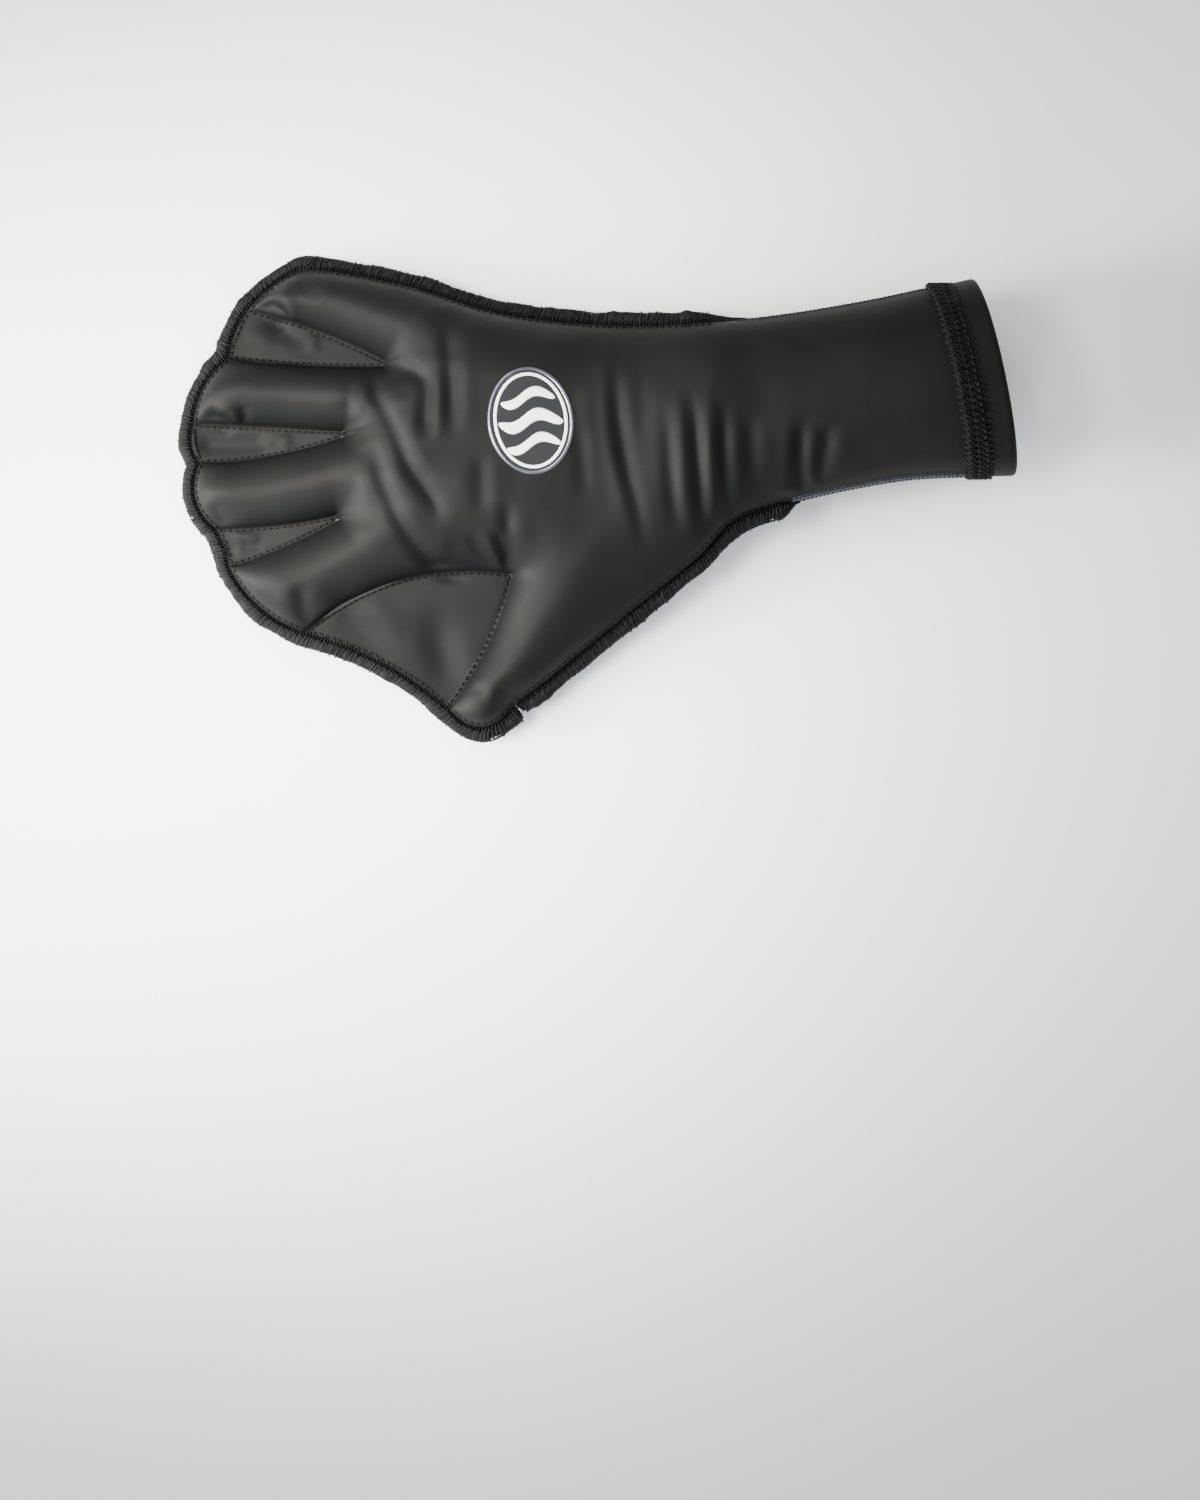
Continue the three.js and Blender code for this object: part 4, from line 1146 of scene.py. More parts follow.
def even_line(line: np.ndarray, pitch: float) -> np.ndarray:
    """The same line with evenly spaced points.

    Args:
        line: Points, one row each.
        pitch: Distance between the new points.

    Returns:
        The new points.
    """
    lengths = arc_lengths(line)
    marks = np.linspace(0, lengths[-1], max(3, round(lengths[-1] / pitch) + 1))
    return np.stack([np.interp(marks, lengths, line[:, k]) for k in range(line.shape[1])], axis=1)


def soften(line: np.ndarray, reach: int) -> np.ndarray:
    """A line whose corners are rounded by averaging over neighbours.

    Args:
        line: Points, one row each.
        reach: How many neighbours on each side.

    Returns:
        As many points.
    """
    weights = np.hanning(2 * reach + 3)[1:-1]
    weights /= weights.sum()
    ahead = 2 * line[0] - line[reach:0:-1]
    behind = 2 * line[-1] - line[-2 : -2 - reach : -1]
    padded = np.vstack([ahead, line, behind])
    return np.stack([np.convolve(padded[:, k], weights, "valid") for k in range(line.shape[1])], axis=1)


def sleeve_faces(count: int, corners: int) -> list:
    """Faces of a solid made of sections in a row, with both ends closed.

    Args:
        count: How many sections.
        corners: How many points a section has.

    Returns:
        Faces as lists of point numbers.
    """
    faces = []
    for i in range(count - 1):
        for j in range(corners):
            a, b = i * corners + j, i * corners + (j + 1) % corners
            faces.append([a, b, b + corners, a + corners])
    faces.append(list(range(corners))[::-1])
    faces.append([(count - 1) * corners + j for j in range(corners)])
    return faces


def band_faces(count: int, around: int, flip: bool = False) -> list:
    """Faces of a closed band: a grid of points that is closed both ways.

    Args:
        count: How many rows.
        around: How many points a row has.
        flip: Whether the faces are turned over.

    Returns:
        Faces as lists of point numbers.
    """
    faces = []
    for i in range(count):
        below = (i + 1) % count * around
        for j in range(around):
            a, b = i * around + j, i * around + (j + 1) % around
            c, d = below + (j + 1) % around, below + j
            faces.append([a, d, c, b] if flip else [a, b, c, d])
    return faces


@dataclass(frozen=True)
class Tube:
    """A thread: a line with a radius, closed at both ends."""

    line: np.ndarray
    radius: float
    sides: int = 5
    end_size: float = 0.5

    def mesh(self) -> tuple:
        """Points and faces of the thread.

        Returns:
            Points in millimetres, and faces as lists of point numbers.
        """
        count = len(self.line)
        tangent = unit(np.gradient(self.line, axis=0))
        up = np.array([0.0, 0.0, 1.0])
        across = unit(np.cross(tangent, up) + np.array([1e-6, 0, 0]))
        third = unit(np.cross(across, tangent))
        turn = np.arange(self.sides) * 2 * np.pi / self.sides
        size = np.ones(count)
        size[0] = size[-1] = self.end_size
        ring = across[:, None] * np.cos(turn)[None, :, None] + third[:, None] * np.sin(turn)[None, :, None]
        points = (self.line[:, None] + ring * (self.radius * size)[:, None, None]).reshape(-1, 3)
        return points, sleeve_faces(count, self.sides)


def join_meshes(parts: Sequence) -> tuple:
    """Points and faces of several meshes as one.

    Args:
        parts: Points and faces of each.

    Returns:
        Points and faces.
    """
    points, faces, start = [], [], 0
    for part_points, part_faces in parts:
        points.append(part_points)
        faces += [[start + v for v in face] for face in part_faces]
        start += len(part_points)
    return np.vstack(points), faces


@dataclass(frozen=True)
class Track:
    """A line that items are repeated along, with their sideways direction and their size at each point."""

    line: np.ndarray
    side: np.ndarray
    size: Optional[np.ndarray] = None


def repeat_tree() -> bpy.types.NodeTree:
    """Geometry Nodes that set an item at even steps along lines, turned to each line and its side vector.

    Returns:
        The node group.
    """
    group = bpy.data.node_groups.new("repeat_along_line", "GeometryNodeTree")
    face = group.interface
    face.new_socket("Line", in_out="INPUT", socket_type="NodeSocketGeometry")
    face.new_socket("Item", in_out="INPUT", socket_type="NodeSocketObject")
    for label, value in (("Pitch", 0.001), ("Turn Jitter", 0.0), ("Size Jitter", 0.0)):
        face.new_socket(label, in_out="INPUT", socket_type="NodeSocketFloat").default_value = value
    face.new_socket("Seed", in_out="INPUT", socket_type="NodeSocketInt")
    face.new_socket("Material", in_out="INPUT", socket_type="NodeSocketMaterial")
    face.new_socket("Geometry", in_out="OUTPUT", socket_type="NodeSocketGeometry")
    n = Nodes(group)
    given, out = n.add("NodeGroupInput"), n.add("NodeGroupOutput")
    curve = n.add("GeometryNodeMeshToCurve", {0: given.outputs["Line"]})
    steps = n.add("GeometryNodeResampleCurve", {"Curve": curve.outputs[0]}, mode="LENGTH")
    n.link(given.outputs["Pitch"], steps.inputs["Length"])
    item = n.add("GeometryNodeObjectInfo", {"Object": given.outputs["Item"]})
    tangent = n.add("GeometryNodeInputTangent")
    side = n.add("GeometryNodeInputNamedAttribute", {"Name": "side"}, data_type="FLOAT_VECTOR")
    size = n.add("GeometryNodeInputNamedAttribute", {"Name": "size"}, data_type="FLOAT")
    turn = n.add("FunctionNodeAxesToRotation", primary_axis="X", secondary_axis="Y")
    n.link(tangent.outputs[0], turn.inputs[0])
    n.link(side.outputs[0], turn.inputs[1])
    jitter = []
    for label, step in (("Turn Jitter", 0), ("Size Jitter", 1)):
        random = n.add("FunctionNodeRandomValue", data_type="FLOAT")
        n.link(n.math("MULTIPLY", given.outputs[label], -1.0), random.inputs[2])
        n.link(given.outputs[label], random.inputs[3])
        n.link(n.math("ADD", given.outputs["Seed"], float(step)), random.inputs["Seed"])
        jitter.append(random.outputs[1])
    lean = n.add("ShaderNodeCombineXYZ", {2: jitter[0]})
    turned = n.add("FunctionNodeRotateRotation", rotation_space="LOCAL")
    n.link(turn.outputs[0], turned.inputs[0])
    n.link(lean.outputs[0], turned.inputs[1])
    scale = n.math("MULTIPLY", size.outputs[0], n.math("ADD", jitter[1], 1.0))
    placed = n.add(
        "GeometryNodeInstanceOnPoints", {"Points": steps.outputs[0], "Instance": item.outputs["Geometry"]}
    )
    n.link(turned.outputs[0], placed.inputs["Rotation"])
    n.link(scale, placed.inputs["Scale"])
    real = n.add("GeometryNodeRealizeInstances", {0: placed.outputs[0]})
    even = n.add("GeometryNodeSetShadeSmooth", {0: real.outputs[0]})
    painted = n.add("GeometryNodeSetMaterial", {0: even.outputs[0], "Material": given.outputs["Material"]})
    n.link(painted.outputs[0], out.inputs[0])
    return group


@dataclass(frozen=True)
class Repeat:
    """An item that is repeated along tracks, all in millimetres."""

    name: str
    item: tuple
    tracks: Sequence
    pitch: float
    turn_jitter: float = 0.0
    size_jitter: float = 0.0
    seed: int = 1

    def build(self, material: bpy.types.Material, origin: np.ndarray) -> bpy.types.Object:
        """Run the repeat and keep its result as a plain mesh.

        Args:
            material: What the items are made of.
            origin: Where the plan's origin lies in the part's frame.

        Returns:
            The piece.
        """
        points, edges, sides, sizes = [], [], [], []
        start = 0
        for track in self.tracks:
            points.append(track.line + np.array([*origin, 0.0]))
            edges += [(start + i, start + i + 1) for i in range(len(track.line) - 1)]
            sides.append(track.side)
            sizes.append(np.ones(len(track.line)) if track.size is None else track.size)
            start += len(track.line)
        mesh = bpy.data.meshes.new(self.name + "_line")
        mesh.from_pydata((np.vstack(points) * MM).tolist(), edges, [])
        side = mesh.attributes.new("side", "FLOAT_VECTOR", "POINT")
        side.data.foreach_set("vector", np.vstack(sides).ravel())
        size = mesh.attributes.new("size", "FLOAT", "POINT")
        size.data.foreach_set("value", np.concatenate(sizes))
        holder = bpy.data.objects.new(self.name + "_line", mesh)
        bpy.context.scene.collection.objects.link(holder)
        item = mesh_object(self.name + "_item", *self.item)
        item.data.materials.append(material)
        tree = group_named("repeat", repeat_tree)
        modifier = holder.modifiers.new("repeat", "NODES")
        modifier.node_group = tree
        values = {
            "Item": item, "Pitch": self.pitch * MM, "Turn Jitter": self.turn_jitter,
            "Size Jitter": self.size_jitter, "Seed": self.seed, "Material": material,
        }
        for socket in tree.interface.items_tree:
            if socket.in_out == "INPUT" and socket.name in values:
                modifier[socket.identifier] = values[socket.name]
        shown = holder.evaluated_get(bpy.context.evaluated_depsgraph_get())
        made = bpy.data.meshes.new_from_object(shown)
        obj = bpy.data.objects.new(self.name, made)
        bpy.context.scene.collection.objects.link(obj)
        for spare in (holder, item):
            bpy.data.objects.remove(spare)
        return obj


def dress(obj: bpy.types.Object, slot: str, *nodes: str) -> bpy.types.Object:
    """Tie a piece to the part's body and hide the CAD nodes that it stands for.

    Args:
        obj: The piece.
        slot: Not used.
        nodes: CAD nodes that the piece replaces.

    Returns:
        The piece.
    """
    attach(obj, BODY)
    if nodes:
        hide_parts(*nodes)
    LOG.info("%s: %d faces", obj.name, len(obj.data.polygons))
    return obj


def sweep(line: np.ndarray, side: np.ndarray, up: np.ndarray, section: np.ndarray, size: np.ndarray) -> tuple:
    """A closed solid with a section (sideways, up) carried along a line.

    Args:
        line: Points of the line.
        side: Sideways vectors.
        up: Upward vectors.
        section: The section's corners, in order.
        size: Size of the section at each point, one or two numbers each.

    Returns:
        Points and faces.
    """
    size = size[:, None, :] if size.ndim == 2 else size[:, None, None] * np.ones((1, 1, 2))
    flat = section[None] * size
    points = line[:, None] + side[:, None] * flat[..., :1] + up[:, None] * flat[..., 1:]
    return points.reshape(-1, 3), sleeve_faces(*points.shape[:2])


@dataclass(frozen=True)
class Overlock:
    """An overlocked edge: a padded core and the loops, edge chain and needle lines of its thread."""

    name: str
    node: str
    border: np.ndarray
    taper_start: bool
    taper_end: bool
    width: float = 4.7
    bulk: float = 5.2
    pitch: float = 1.15
    taper: float = 22.0
    round_end: float = 3.2
    wobble: float = 0.2
    lump: float = 0.16
    thread: float = 0.28
    needle_inset: float = 1.3
    needle_start: float = 0.75

    def path(self) -> tuple:
        """The panels' edge with its outward directions and the sizes along it.

        Returns:
            Points, outward directions and sizes.
        """
        line = soften(even_line(self.border, 0.6), 3)
        tangent = unit(np.gradient(line[:, :2], axis=0))
        out = np.stack([-tangent[:, 1], tangent[:, 0], np.zeros(len(line))], axis=1)
        out = unit(soften(out, 2))
        lengths = arc_lengths(line)
        rng = np.random.default_rng(len(self.name))
        size = 1 + soften(rng.normal(0, self.wobble, (len(line), 1)), 12)[:, 0]
        for tapers, along in ((self.taper_start, lengths), (self.taper_end, lengths[-1] - lengths)):
            if tapers:
                size *= 0.2 + 0.8 * smooth(along, 0, self.taper)
            else:
                size *= np.sqrt(np.clip(1 - np.maximum(1 - along / self.round_end, 0) ** 2, 0.06, 1))
        return line, out, size

    def core(self, material: bpy.types.Material, origin: np.ndarray) -> bpy.types.Object:
        """The padded edge under the thread, in the darker thread: the thread's own black, and painted shade
        in the gaps between the loops.

        Args:
            material: What it is made of.
            origin: Where the plan's origin lies in the part's frame.

        Returns:
            The piece.
        """
        line, out, size = self.path()
        up = np.tile([0.0, 0.0, 1.0], (len(line), 1))
        turn = np.linspace(0, 2 * np.pi, 15)[:-1]
        reach = self.width * 1.04
        section = np.stack([
            (np.cos(turn) + 1) * reach * 0.5 - 0.1,
            np.sign(np.sin(turn)) * np.abs(np.sin(turn)) ** 0.6 * self.bulk * 0.46,
        ], axis=1)
        rng = np.random.default_rng(7)
        lump = soften(rng.normal(0, self.lump, (len(line), 1)), 4)[:, 0]
        points, faces = sweep(line, out, up, section, size * (1 + lump))
        points[:, :2] += origin
        obj = mesh_object(self.name + "_core", points, faces)
        obj.data.materials.append(material)
        return dress(obj, "thread", self.node)

    def loop(self) -> tuple:
        """One loop of thread: over the top, round the edge and back underneath.

        Returns:
            Points and faces.
        """
        top, edge = self.bulk * 0.47, self.width
        half = np.array([
            (-0.75, -0.9, top - 0.5), (-0.6, -0.35, top + 0.05), (-0.3, edge * 0.25, top + 0.22),
            (0.1, edge * 0.55, top + 0.12), (0.4, edge * 0.8, top - 0.45), (0.55, edge * 0.97, top * 0.45),
        ])
        under = half[::-1] * np.array([1, 1, -1])
        line = np.vstack([half, [(0.55, edge + 0.08, 0.0)], under])
        return Tube(line, self.thread, 5).mesh()

    def threads(self, material: bpy.types.Material, origin: np.ndarray) -> list:
        """The loops round the edge and the chain along its rim.

        Args:
            material: What they are made of.
            origin: Where the plan's origin lies in the part's frame.

        Returns:
            The two pieces.
        """
        line, out, size = self.path()
        loops = Repeat(self.name + "_loops", self.loop(), [Track(line, out, size)], self.pitch, 0.2, 0.09, 3)
        rim = line + out * ((self.width - 0.3) * size)[:, None]
        knot = Tube(np.array([(-0.7, -0.1, 0.75), (-0.1, 0.22, 0.25), (0.7, 0.0, -0.75)]), 0.42, 5).mesh()
        chain = Repeat(self.name + "_chain", knot, [Track(rim, out, size)], self.pitch, 0.3, 0.1, 5)
        return [dress(repeat.build(material, origin), "thread") for repeat in (loops, chain)]

    def needle_lines(
        self, shells: Sequence, material: bpy.types.Material, origin: np.ndarray
    ) -> bpy.types.Object:
        """The two rows of needle stitches by the loops' inner ends, on both sides of the glove.

        Args:
            shells: The outsides of both panels.
            material: What they are made of.
            origin: Where the plan's origin lies in the part's frame.

        Returns:
            The piece.
        """
        line, out, size = self.path()
        tracks = []
        for shell in shells:
            ground, normal = shell.drop(line - out * self.needle_inset)
            full = size > self.needle_start
            tracks.append(on_surface(ground[full], normal[full], 0.05))
            lift = np.array([0, 0, shell.side.value * (self.bulk * 0.47 + 0.5)])
            top = line + out * self.needle_inset + lift
            up = np.tile([0.0, 0.0, float(shell.side.value)], (len(line), 1))
            tracks.append(on_surface(top[full], up[full]))
        repeat = Repeat(self.name + "_needles", dash(1.7, 0.3), tracks, 2.4, 0.12, 0.08, 29)
        return dress(repeat.build(material, origin), "thread")


def dash(length: float, radius: float, lift: float = 0.1) -> tuple:
    """One straight stitch: a short thread whose ends dip into the cloth.

    Args:
        length: Length of the stitch.
        radius: Radius of its thread.
        lift: Height of its middle over the cloth.

    Returns:
        Points and faces.
    """
    half, bend, dip = length / 2, length * 0.31, lift - 0.42
    line = np.array([(-half, 0, dip), (-bend, 0, lift), (0, 0, lift + 0.08), (bend, 0, lift), (half, 0, dip)])
    return Tube(line, radius, 6, 0.7).mesh()


@dataclass
class Shell:
    """Ray casts onto the outside of a built panel, to lay threads and the badge on it."""

    panel: bpy.types.Object
    origin: np.ndarray
    side: Side = Side.BACK

    def __post_init__(self) -> None:
        """Index the panel's faces."""
        mesh = self.panel.data
        points = [v.co.copy() for v in mesh.vertices]
        self.tree = BVHTree.FromPolygons(points, [tuple(p.vertices) for p in mesh.polygons])

    def drop(self, places: np.ndarray) -> tuple:
        """Points and normals of the panel's outside at places on the plan, in millimetres.

        Args:
            places: Places, one row each.

        Returns:
            Points and normals, one row each.
        """
        points, normals = [], []
        away = Vector((0, 0, float(self.side.value)))
        for x, y in np.asarray(places)[:, :2] + self.origin:
            hit, normal, _, _ = self.tree.ray_cast(Vector((x * MM, y * MM, 0)) + away * 0.2, -away)
            if hit is None:
                hit, normal = Vector((x * MM, y * MM, points[-1][2] * MM if points else 0.0)), away
            points.append([hit.x / MM - self.origin[0], hit.y / MM - self.origin[1], hit.z / MM])
            normals.append(list(normal))
        return np.array(points), np.array(normals)


def on_surface(line: np.ndarray, normals: np.ndarray, lift: float = 0.0) -> Track:
    """A track on a surface, with its items' Z along the surface's normals."""
    tangent = unit(np.gradient(line, axis=0))
    return Track(line + normals * lift, unit(np.cross(normals, tangent)))


@dataclass(frozen=True)
class WebStitches:
    """Lockstitches along both sides of every web, just inside its outline."""

    plan: GlovePlan
    inset: float = 0.8
    pitch: float = 2.4
    length: float = 1.6
    radius: float = 0.25
    tip_gap: float = 2.4

    def build(self, shell: Shell, material: bpy.types.Material) -> bpy.types.Object:
        """Stitch the webs of one panel.

        Args:
            shell: The panel's outside.
            material: What the stitches are made of.

        Returns:
            The piece.
        """
        tracks = []
        for outline in self.plan.web_outlines:
            half = len(outline) // 2
            for line, turn in ((outline[:half], -1.0), (outline[:half - 1 : -1], 1.0)):
                even = even_line(line, 1.0)
                tangent = unit(np.gradient(even, axis=0))
                inward = np.stack([-tangent[:, 1], tangent[:, 0]], axis=1) * turn
                if not inside_ring((even + inward * self.inset)[len(even) // 2][None], outline)[0]:
                    inward = -inward
                lengths = arc_lengths(even)
                keep = lengths < lengths[-1] - self.tip_gap
                ground, normal = shell.drop((even + inward * self.inset)[keep])
                tracks.append(on_surface(ground, normal, 0.06))
        name = f"web_stitches_{shell.side.name.lower()}"
        repeat = Repeat(name, dash(self.length, self.radius), tracks, self.pitch, 0.08, 0.06, 11)
        return dress(repeat.build(material, shell.origin), "thread")


@dataclass
class CuffRings:
    """The closed outline of the cuff at any distance from its end, for what is sewn round it."""

    skin: GloveSkin
    back: np.ndarray
    palm: np.ndarray

    def ring(self, from_end: float) -> np.ndarray:
        """The outline at a distance from the end, over the back to the thumb side, then back over the palm.

        Args:
            from_end: Distance from the cuff's end, in millimetres.

        Returns:
            Points, one row each.
        """
        per_station = self.skin.from_end()[-1, 0] / self.skin.stations[-1]
        station = from_end / per_station
        rows = self.skin.stations
        i = int(np.clip(np.searchsorted(rows, station) - 1, 0, len(rows) - 2))
        t = (station - rows[i]) / (rows[i + 1] - rows[i])
        back = self.back[i] * (1 - t) + self.back[i + 1] * t
        palm = self.palm[i] * (1 - t) + self.palm[i + 1] * t
        return np.vstack([back, palm[::-1]])

    def outward(self, ring: np.ndarray) -> np.ndarray:
        """Outward normals of an outline, level with the cuff's section.

        Args:
            ring: What ring gives.

        Returns:
            Normals, one row each.
        """
        around = unit(np.roll(ring, -2, axis=0) - np.roll(ring, 2, axis=0))
        axis = np.array([1.0, 0.0, 0.0])
        normal = np.cross(around, axis)
        middle = ring.mean(axis=0)
        normal *= np.sign(np.sum(normal * (ring - middle), axis=1, keepdims=True))
        return unit(normal)


@dataclass
class Coverstitch:
    """The wide coverstitch round the cuff: a thin bed of thread with a lattice of loops on it."""

    rings: CuffRings
    inset: float = COVERSTITCH_INSET
    width: float = COVERSTITCH_WIDTH
    pitch: float = 2.4

    def bed(self, material: bpy.types.Material) -> bpy.types.Object:
        """The bed of thread, a thin closed band in the darker thread: the thread's own black, and painted
        shade in the gaps of the lattice.

        Args:
            material: What it is made of.

        Returns:
            The piece.
        """
        shares = np.linspace(0.05, 0.95, 9)
        layers = []
        for lift in (0.32, -0.25):
            rows = []
            for share in shares:
                ring = self.rings.ring(self.inset + self.width * share)[::2]
                edge = 1 if shares[0] < share < shares[-1] else 0.2
                rows.append(ring + self.rings.outward(ring) * (lift * edge if lift > 0 else lift))
            layers.append(np.array(rows))
        rows = np.vstack([layers[0], layers[1][::-1]])
        points = rows.reshape(-1, 3)
        points[:, :2] += self.rings.skin.origin
        obj = mesh_object("coverstitch_bed", points, band_faces(*rows.shape[:2], flip=True))
        obj.data.materials.append(material)
        return dress(obj, "thread", "hem_coverstitch")

    def lattice(self) -> tuple:
        """One repeat of the lattice: two crossing threads with loops that stand out at both edges.

        Returns:
            Points and faces.
        """
        half = self.width / 2
        parts = []
        share = np.linspace(-1, 1, 17)
        for turn in (1, -1):
            along = turn * 0.85 * np.cos(share * 2.5 * np.pi)
            height = 0.55 + 0.35 * turn * np.sin(share * 5 * np.pi)
            height[0] = height[-1] = 0.1
            across = share * (half + 0.35 + 0.45 * turn)
            parts.append(Tube(np.stack([along, across, height], axis=1), 0.36, 5).mesh())
        for row in (-0.68, 0.0, 0.68):
            x = np.array([-1.05, -0.55, 0, 0.55, 1.05])
            z = np.array([0.3, 0.85, 0.95, 0.85, 0.3])
            parts.append(Tube(np.stack([x, np.full(5, row * half), z], axis=1), 0.3, 5).mesh())
        return join_meshes(parts)

    def threads(self, material: bpy.types.Material) -> bpy.types.Object:
        """The lattice round the cuff.

        Args:
            material: What it is made of.

        Returns:
            The piece.
        """
        ring = self.rings.ring(self.inset + self.width / 2)[:-1]
        normal = self.rings.outward(ring)
        closed = np.vstack([ring, ring[:1]])
        track = on_surface(closed, np.vstack([normal, normal[:1]]), 0.2)
        repeat = Repeat("coverstitch_threads", self.lattice(), [track], self.pitch, 0.08, 0.06, 17)
        return dress(repeat.build(material, self.rings.skin.origin), "thread")


@dataclass
class CuffSeam:
    """A flat seam along one side of the cuff, with rows of stitches on its middle and by both edges."""

    rings: CuffRings
    name: str
    node: str
    thumb_side: bool
    stop: float
    towards_back: float = 0.0
    start: float = COVERSTITCH_INSET + COVERSTITCH_WIDTH + 0.5
    width: float = 5.0
    bulk: float = 0.42
    depth: float = 0.25
    rows: int = 60
    across: int = 11

    def grid(self) -> tuple:
        """Points of the strip's middle surface and its outward normals.

        Returns:
            Two grids.
        """
        points, normals = [], []
        for distance in np.linspace(self.start, self.stop, self.rows):
            ring = self.rings.ring(distance)
            half = len(ring) // 2
            ring = ring if self.thumb_side else np.roll(ring, half, axis=0)
            outward = self.rings.outward(ring)
            lengths = arc_lengths(ring)
            seam = (lengths[half - 1] + lengths[half]) / 2
            marks = seam - self.towards_back + np.linspace(-0.5, 0.5, self.across) * self.width
            points.append(np.stack([np.interp(marks, lengths, ring[:, k]) for k in range(3)], axis=1))
            normals.append(np.stack([np.interp(marks, lengths, outward[:, k]) for k in range(3)], axis=1))
        return np.array(points), unit(np.array(normals))

    def build(self, cloth: bpy.types.Material, thread: bpy.types.Material) -> list:
        """The strip and its stitches.

        Args:
            cloth: Material of the strip.
            thread: Material of the stitches.

        Returns:
            The two pieces.
        """
        points, normals = self.grid()
        profile = self.bulk * np.sqrt(np.maximum(1 - np.linspace(-1, 1, self.across) ** 4, 0))
        outer = points + normals * profile[None, :, None]
        inner = points - normals * self.depth
        loops = np.concatenate([outer, inner[:, ::-1]], axis=1)
        flat = loops.reshape(-1, 3).copy()
        flat[:, :2] += self.rings.skin.origin
        strip = mesh_object(self.name, flat, sleeve_faces(*loops.shape[:2]))
        strip.data.materials.append(cloth)
        lines = (1, self.across // 2, self.across - 2)
        tracks = [on_surface(points[:, k], normals[:, k], 0.3) for k in lines]
        stitches = Repeat(self.name + "_stitches", dash(1.2, 0.24), tracks, 1.5, 0.5, 0.1, 23)
        made = dress(strip, "seam_cloth", self.node)
        return [made, dress(stitches.build(thread, self.rings.skin.origin), "thread")]


@dataclass
class Badge:
    """The oval film on the back of the hand, with a silver rim and three printed waves."""

    shell: Shell
    height: float = 39.0
    width: float = 31.0
    tilt: float = 8.0
    rim: float = 1.5
    sides: int = 96

    def place(self, u: np.ndarray, v: np.ndarray) -> np.ndarray:
        """Plan places of the badge's own coordinates, u to its right and v to its top, in millimetres.

        Args:
            u: Coordinates to the right.
            v: Coordinates to the top.

        Returns:
            Places on the plan.
        """
        turn = math.radians(self.tilt)
        along = u * math.cos(turn) - v * math.sin(turn)
        across = u * math.sin(turn) + v * math.cos(turn)
        return BADGE_PLACE.mm() + np.stack([along, across], axis=-1)

    def lay(
        self, name: str, u: np.ndarray, v: np.ndarray, low: float, high: float, edge: np.ndarray
    ) -> bpy.types.Object:
        """A thin closed solid over a grid of the badge's coordinates.

        Args:
            name: The piece's name.
            u: Coordinates to the right.
            v: Coordinates to the top.
            low: Height of the underside over the cloth.
            high: Height of the top over the cloth.
            edge: Share of the full height at each grid point.

        Returns:
            The piece.
        """
        ground, normal = self.shell.drop(self.place(u, v).reshape(-1, 2))
        shape = u.shape + (3,)
        ground, normal = ground.reshape(shape), normal.reshape(shape)
        top = ground + normal * (low + (high - low) * edge)[..., None]
        bottom = ground + normal * low
        rows, columns = u.shape
        points = np.vstack([top.reshape(-1, 3), bottom.reshape(-1, 3)])
        points[:, :2] += self.shell.origin
        faces = [list(f) for f in grid_faces(rows, columns, 0)]
        faces += [list(f) for f in grid_faces(rows, columns, rows * columns, True)]
        number = np.arange(rows * columns).reshape(rows, columns)
        border = np.concatenate([number[0], number[1:, -1], number[-1, -2::-1], number[-2:0:-1, 0]])
        below = border + rows * columns
        for i in range(len(border)):
            j = (i + 1) % len(border)
            faces.append([border[j], border[i], below[i], below[j]])
        return mesh_object(name, points, faces)

    def ring(self, name: str, inner: float, outer: float, low: float, high: float) -> bpy.types.Object:
        """A closed oval ring between two insets from the badge's edge.

        Args:
            name: The piece's name.
            inner: Inset of its inner edge.
            outer: Inset of its outer edge.
            low: Height of the underside over the cloth.
            high: Height of the top over the cloth.

        Returns:
            The piece.
        """
        turn = np.linspace(0, 2 * np.pi, self.sides + 1)[:-1]
        insets = np.linspace(outer, inner, 6)
        edge = np.sqrt(np.maximum(1 - np.linspace(-1, 1, 6) ** 4, 0))
        u = np.stack([(self.width / 2 - inset) * np.cos(turn) for inset in insets])
        v = np.stack([(self.height / 2 - inset) * np.sin(turn) for inset in insets])
        ground, normal = self.shell.drop(self.place(u, v).reshape(-1, 2))
        ground, normal = ground.reshape(u.shape + (3,)), normal.reshape(u.shape + (3,))
        top = ground + normal * (low + (high - low) * edge[:, None])[..., None]
        rows = np.vstack([top, (ground + normal * low)[::-1]])
        points = rows.reshape(-1, 3)
        points[:, :2] += self.shell.origin
        return mesh_object(name, points, band_faces(*rows.shape[:2]))

    def film(self) -> bpy.types.Object:
        """The film itself, as a closed solid.

        Returns:
            The piece.
        """
        turns, reaches = np.linspace(0, 2 * np.pi, self.sides + 1), np.linspace(0.02, 1, 22)
        turn, reach = np.meshgrid(turns, reaches, indexing="ij")
        u, v = self.width / 2 * reach * np.cos(turn), self.height / 2 * reach * np.sin(turn)
        return self.lay("badge_film", u[:-1], v[:-1], 0.03, 0.34, smooth(1 - reach[:-1], -0.004, 0.03))

    def wave(self, name: str, level: float, thick: float) -> bpy.types.Object:
        """One printed wave across the badge, with pointed ends.

        Args:
            name: The piece's name.
            level: Height of its middle on the badge.
            thick: Thickness at its middle.

        Returns:
            The piece.
        """
        reach = math.sqrt(1 - (level / (self.height / 2 - 4.2)) ** 2) * (self.width / 2 - 4.0)
        share, across = np.meshgrid(np.linspace(-1, 1, 61), np.linspace(-1, 1, 7), indexing="ij")
        u = share * reach
        swell = thick / 2 * np.sqrt(np.maximum(1 - share ** 4, 0.004))
        v = level + 1.9 * np.sin(u * 2 * np.pi / 19.0 + 0.6) + across * swell
        return self.lay(name, u, v, 0.3, 0.46, np.sqrt(np.maximum(1 - across ** 6, 0)))

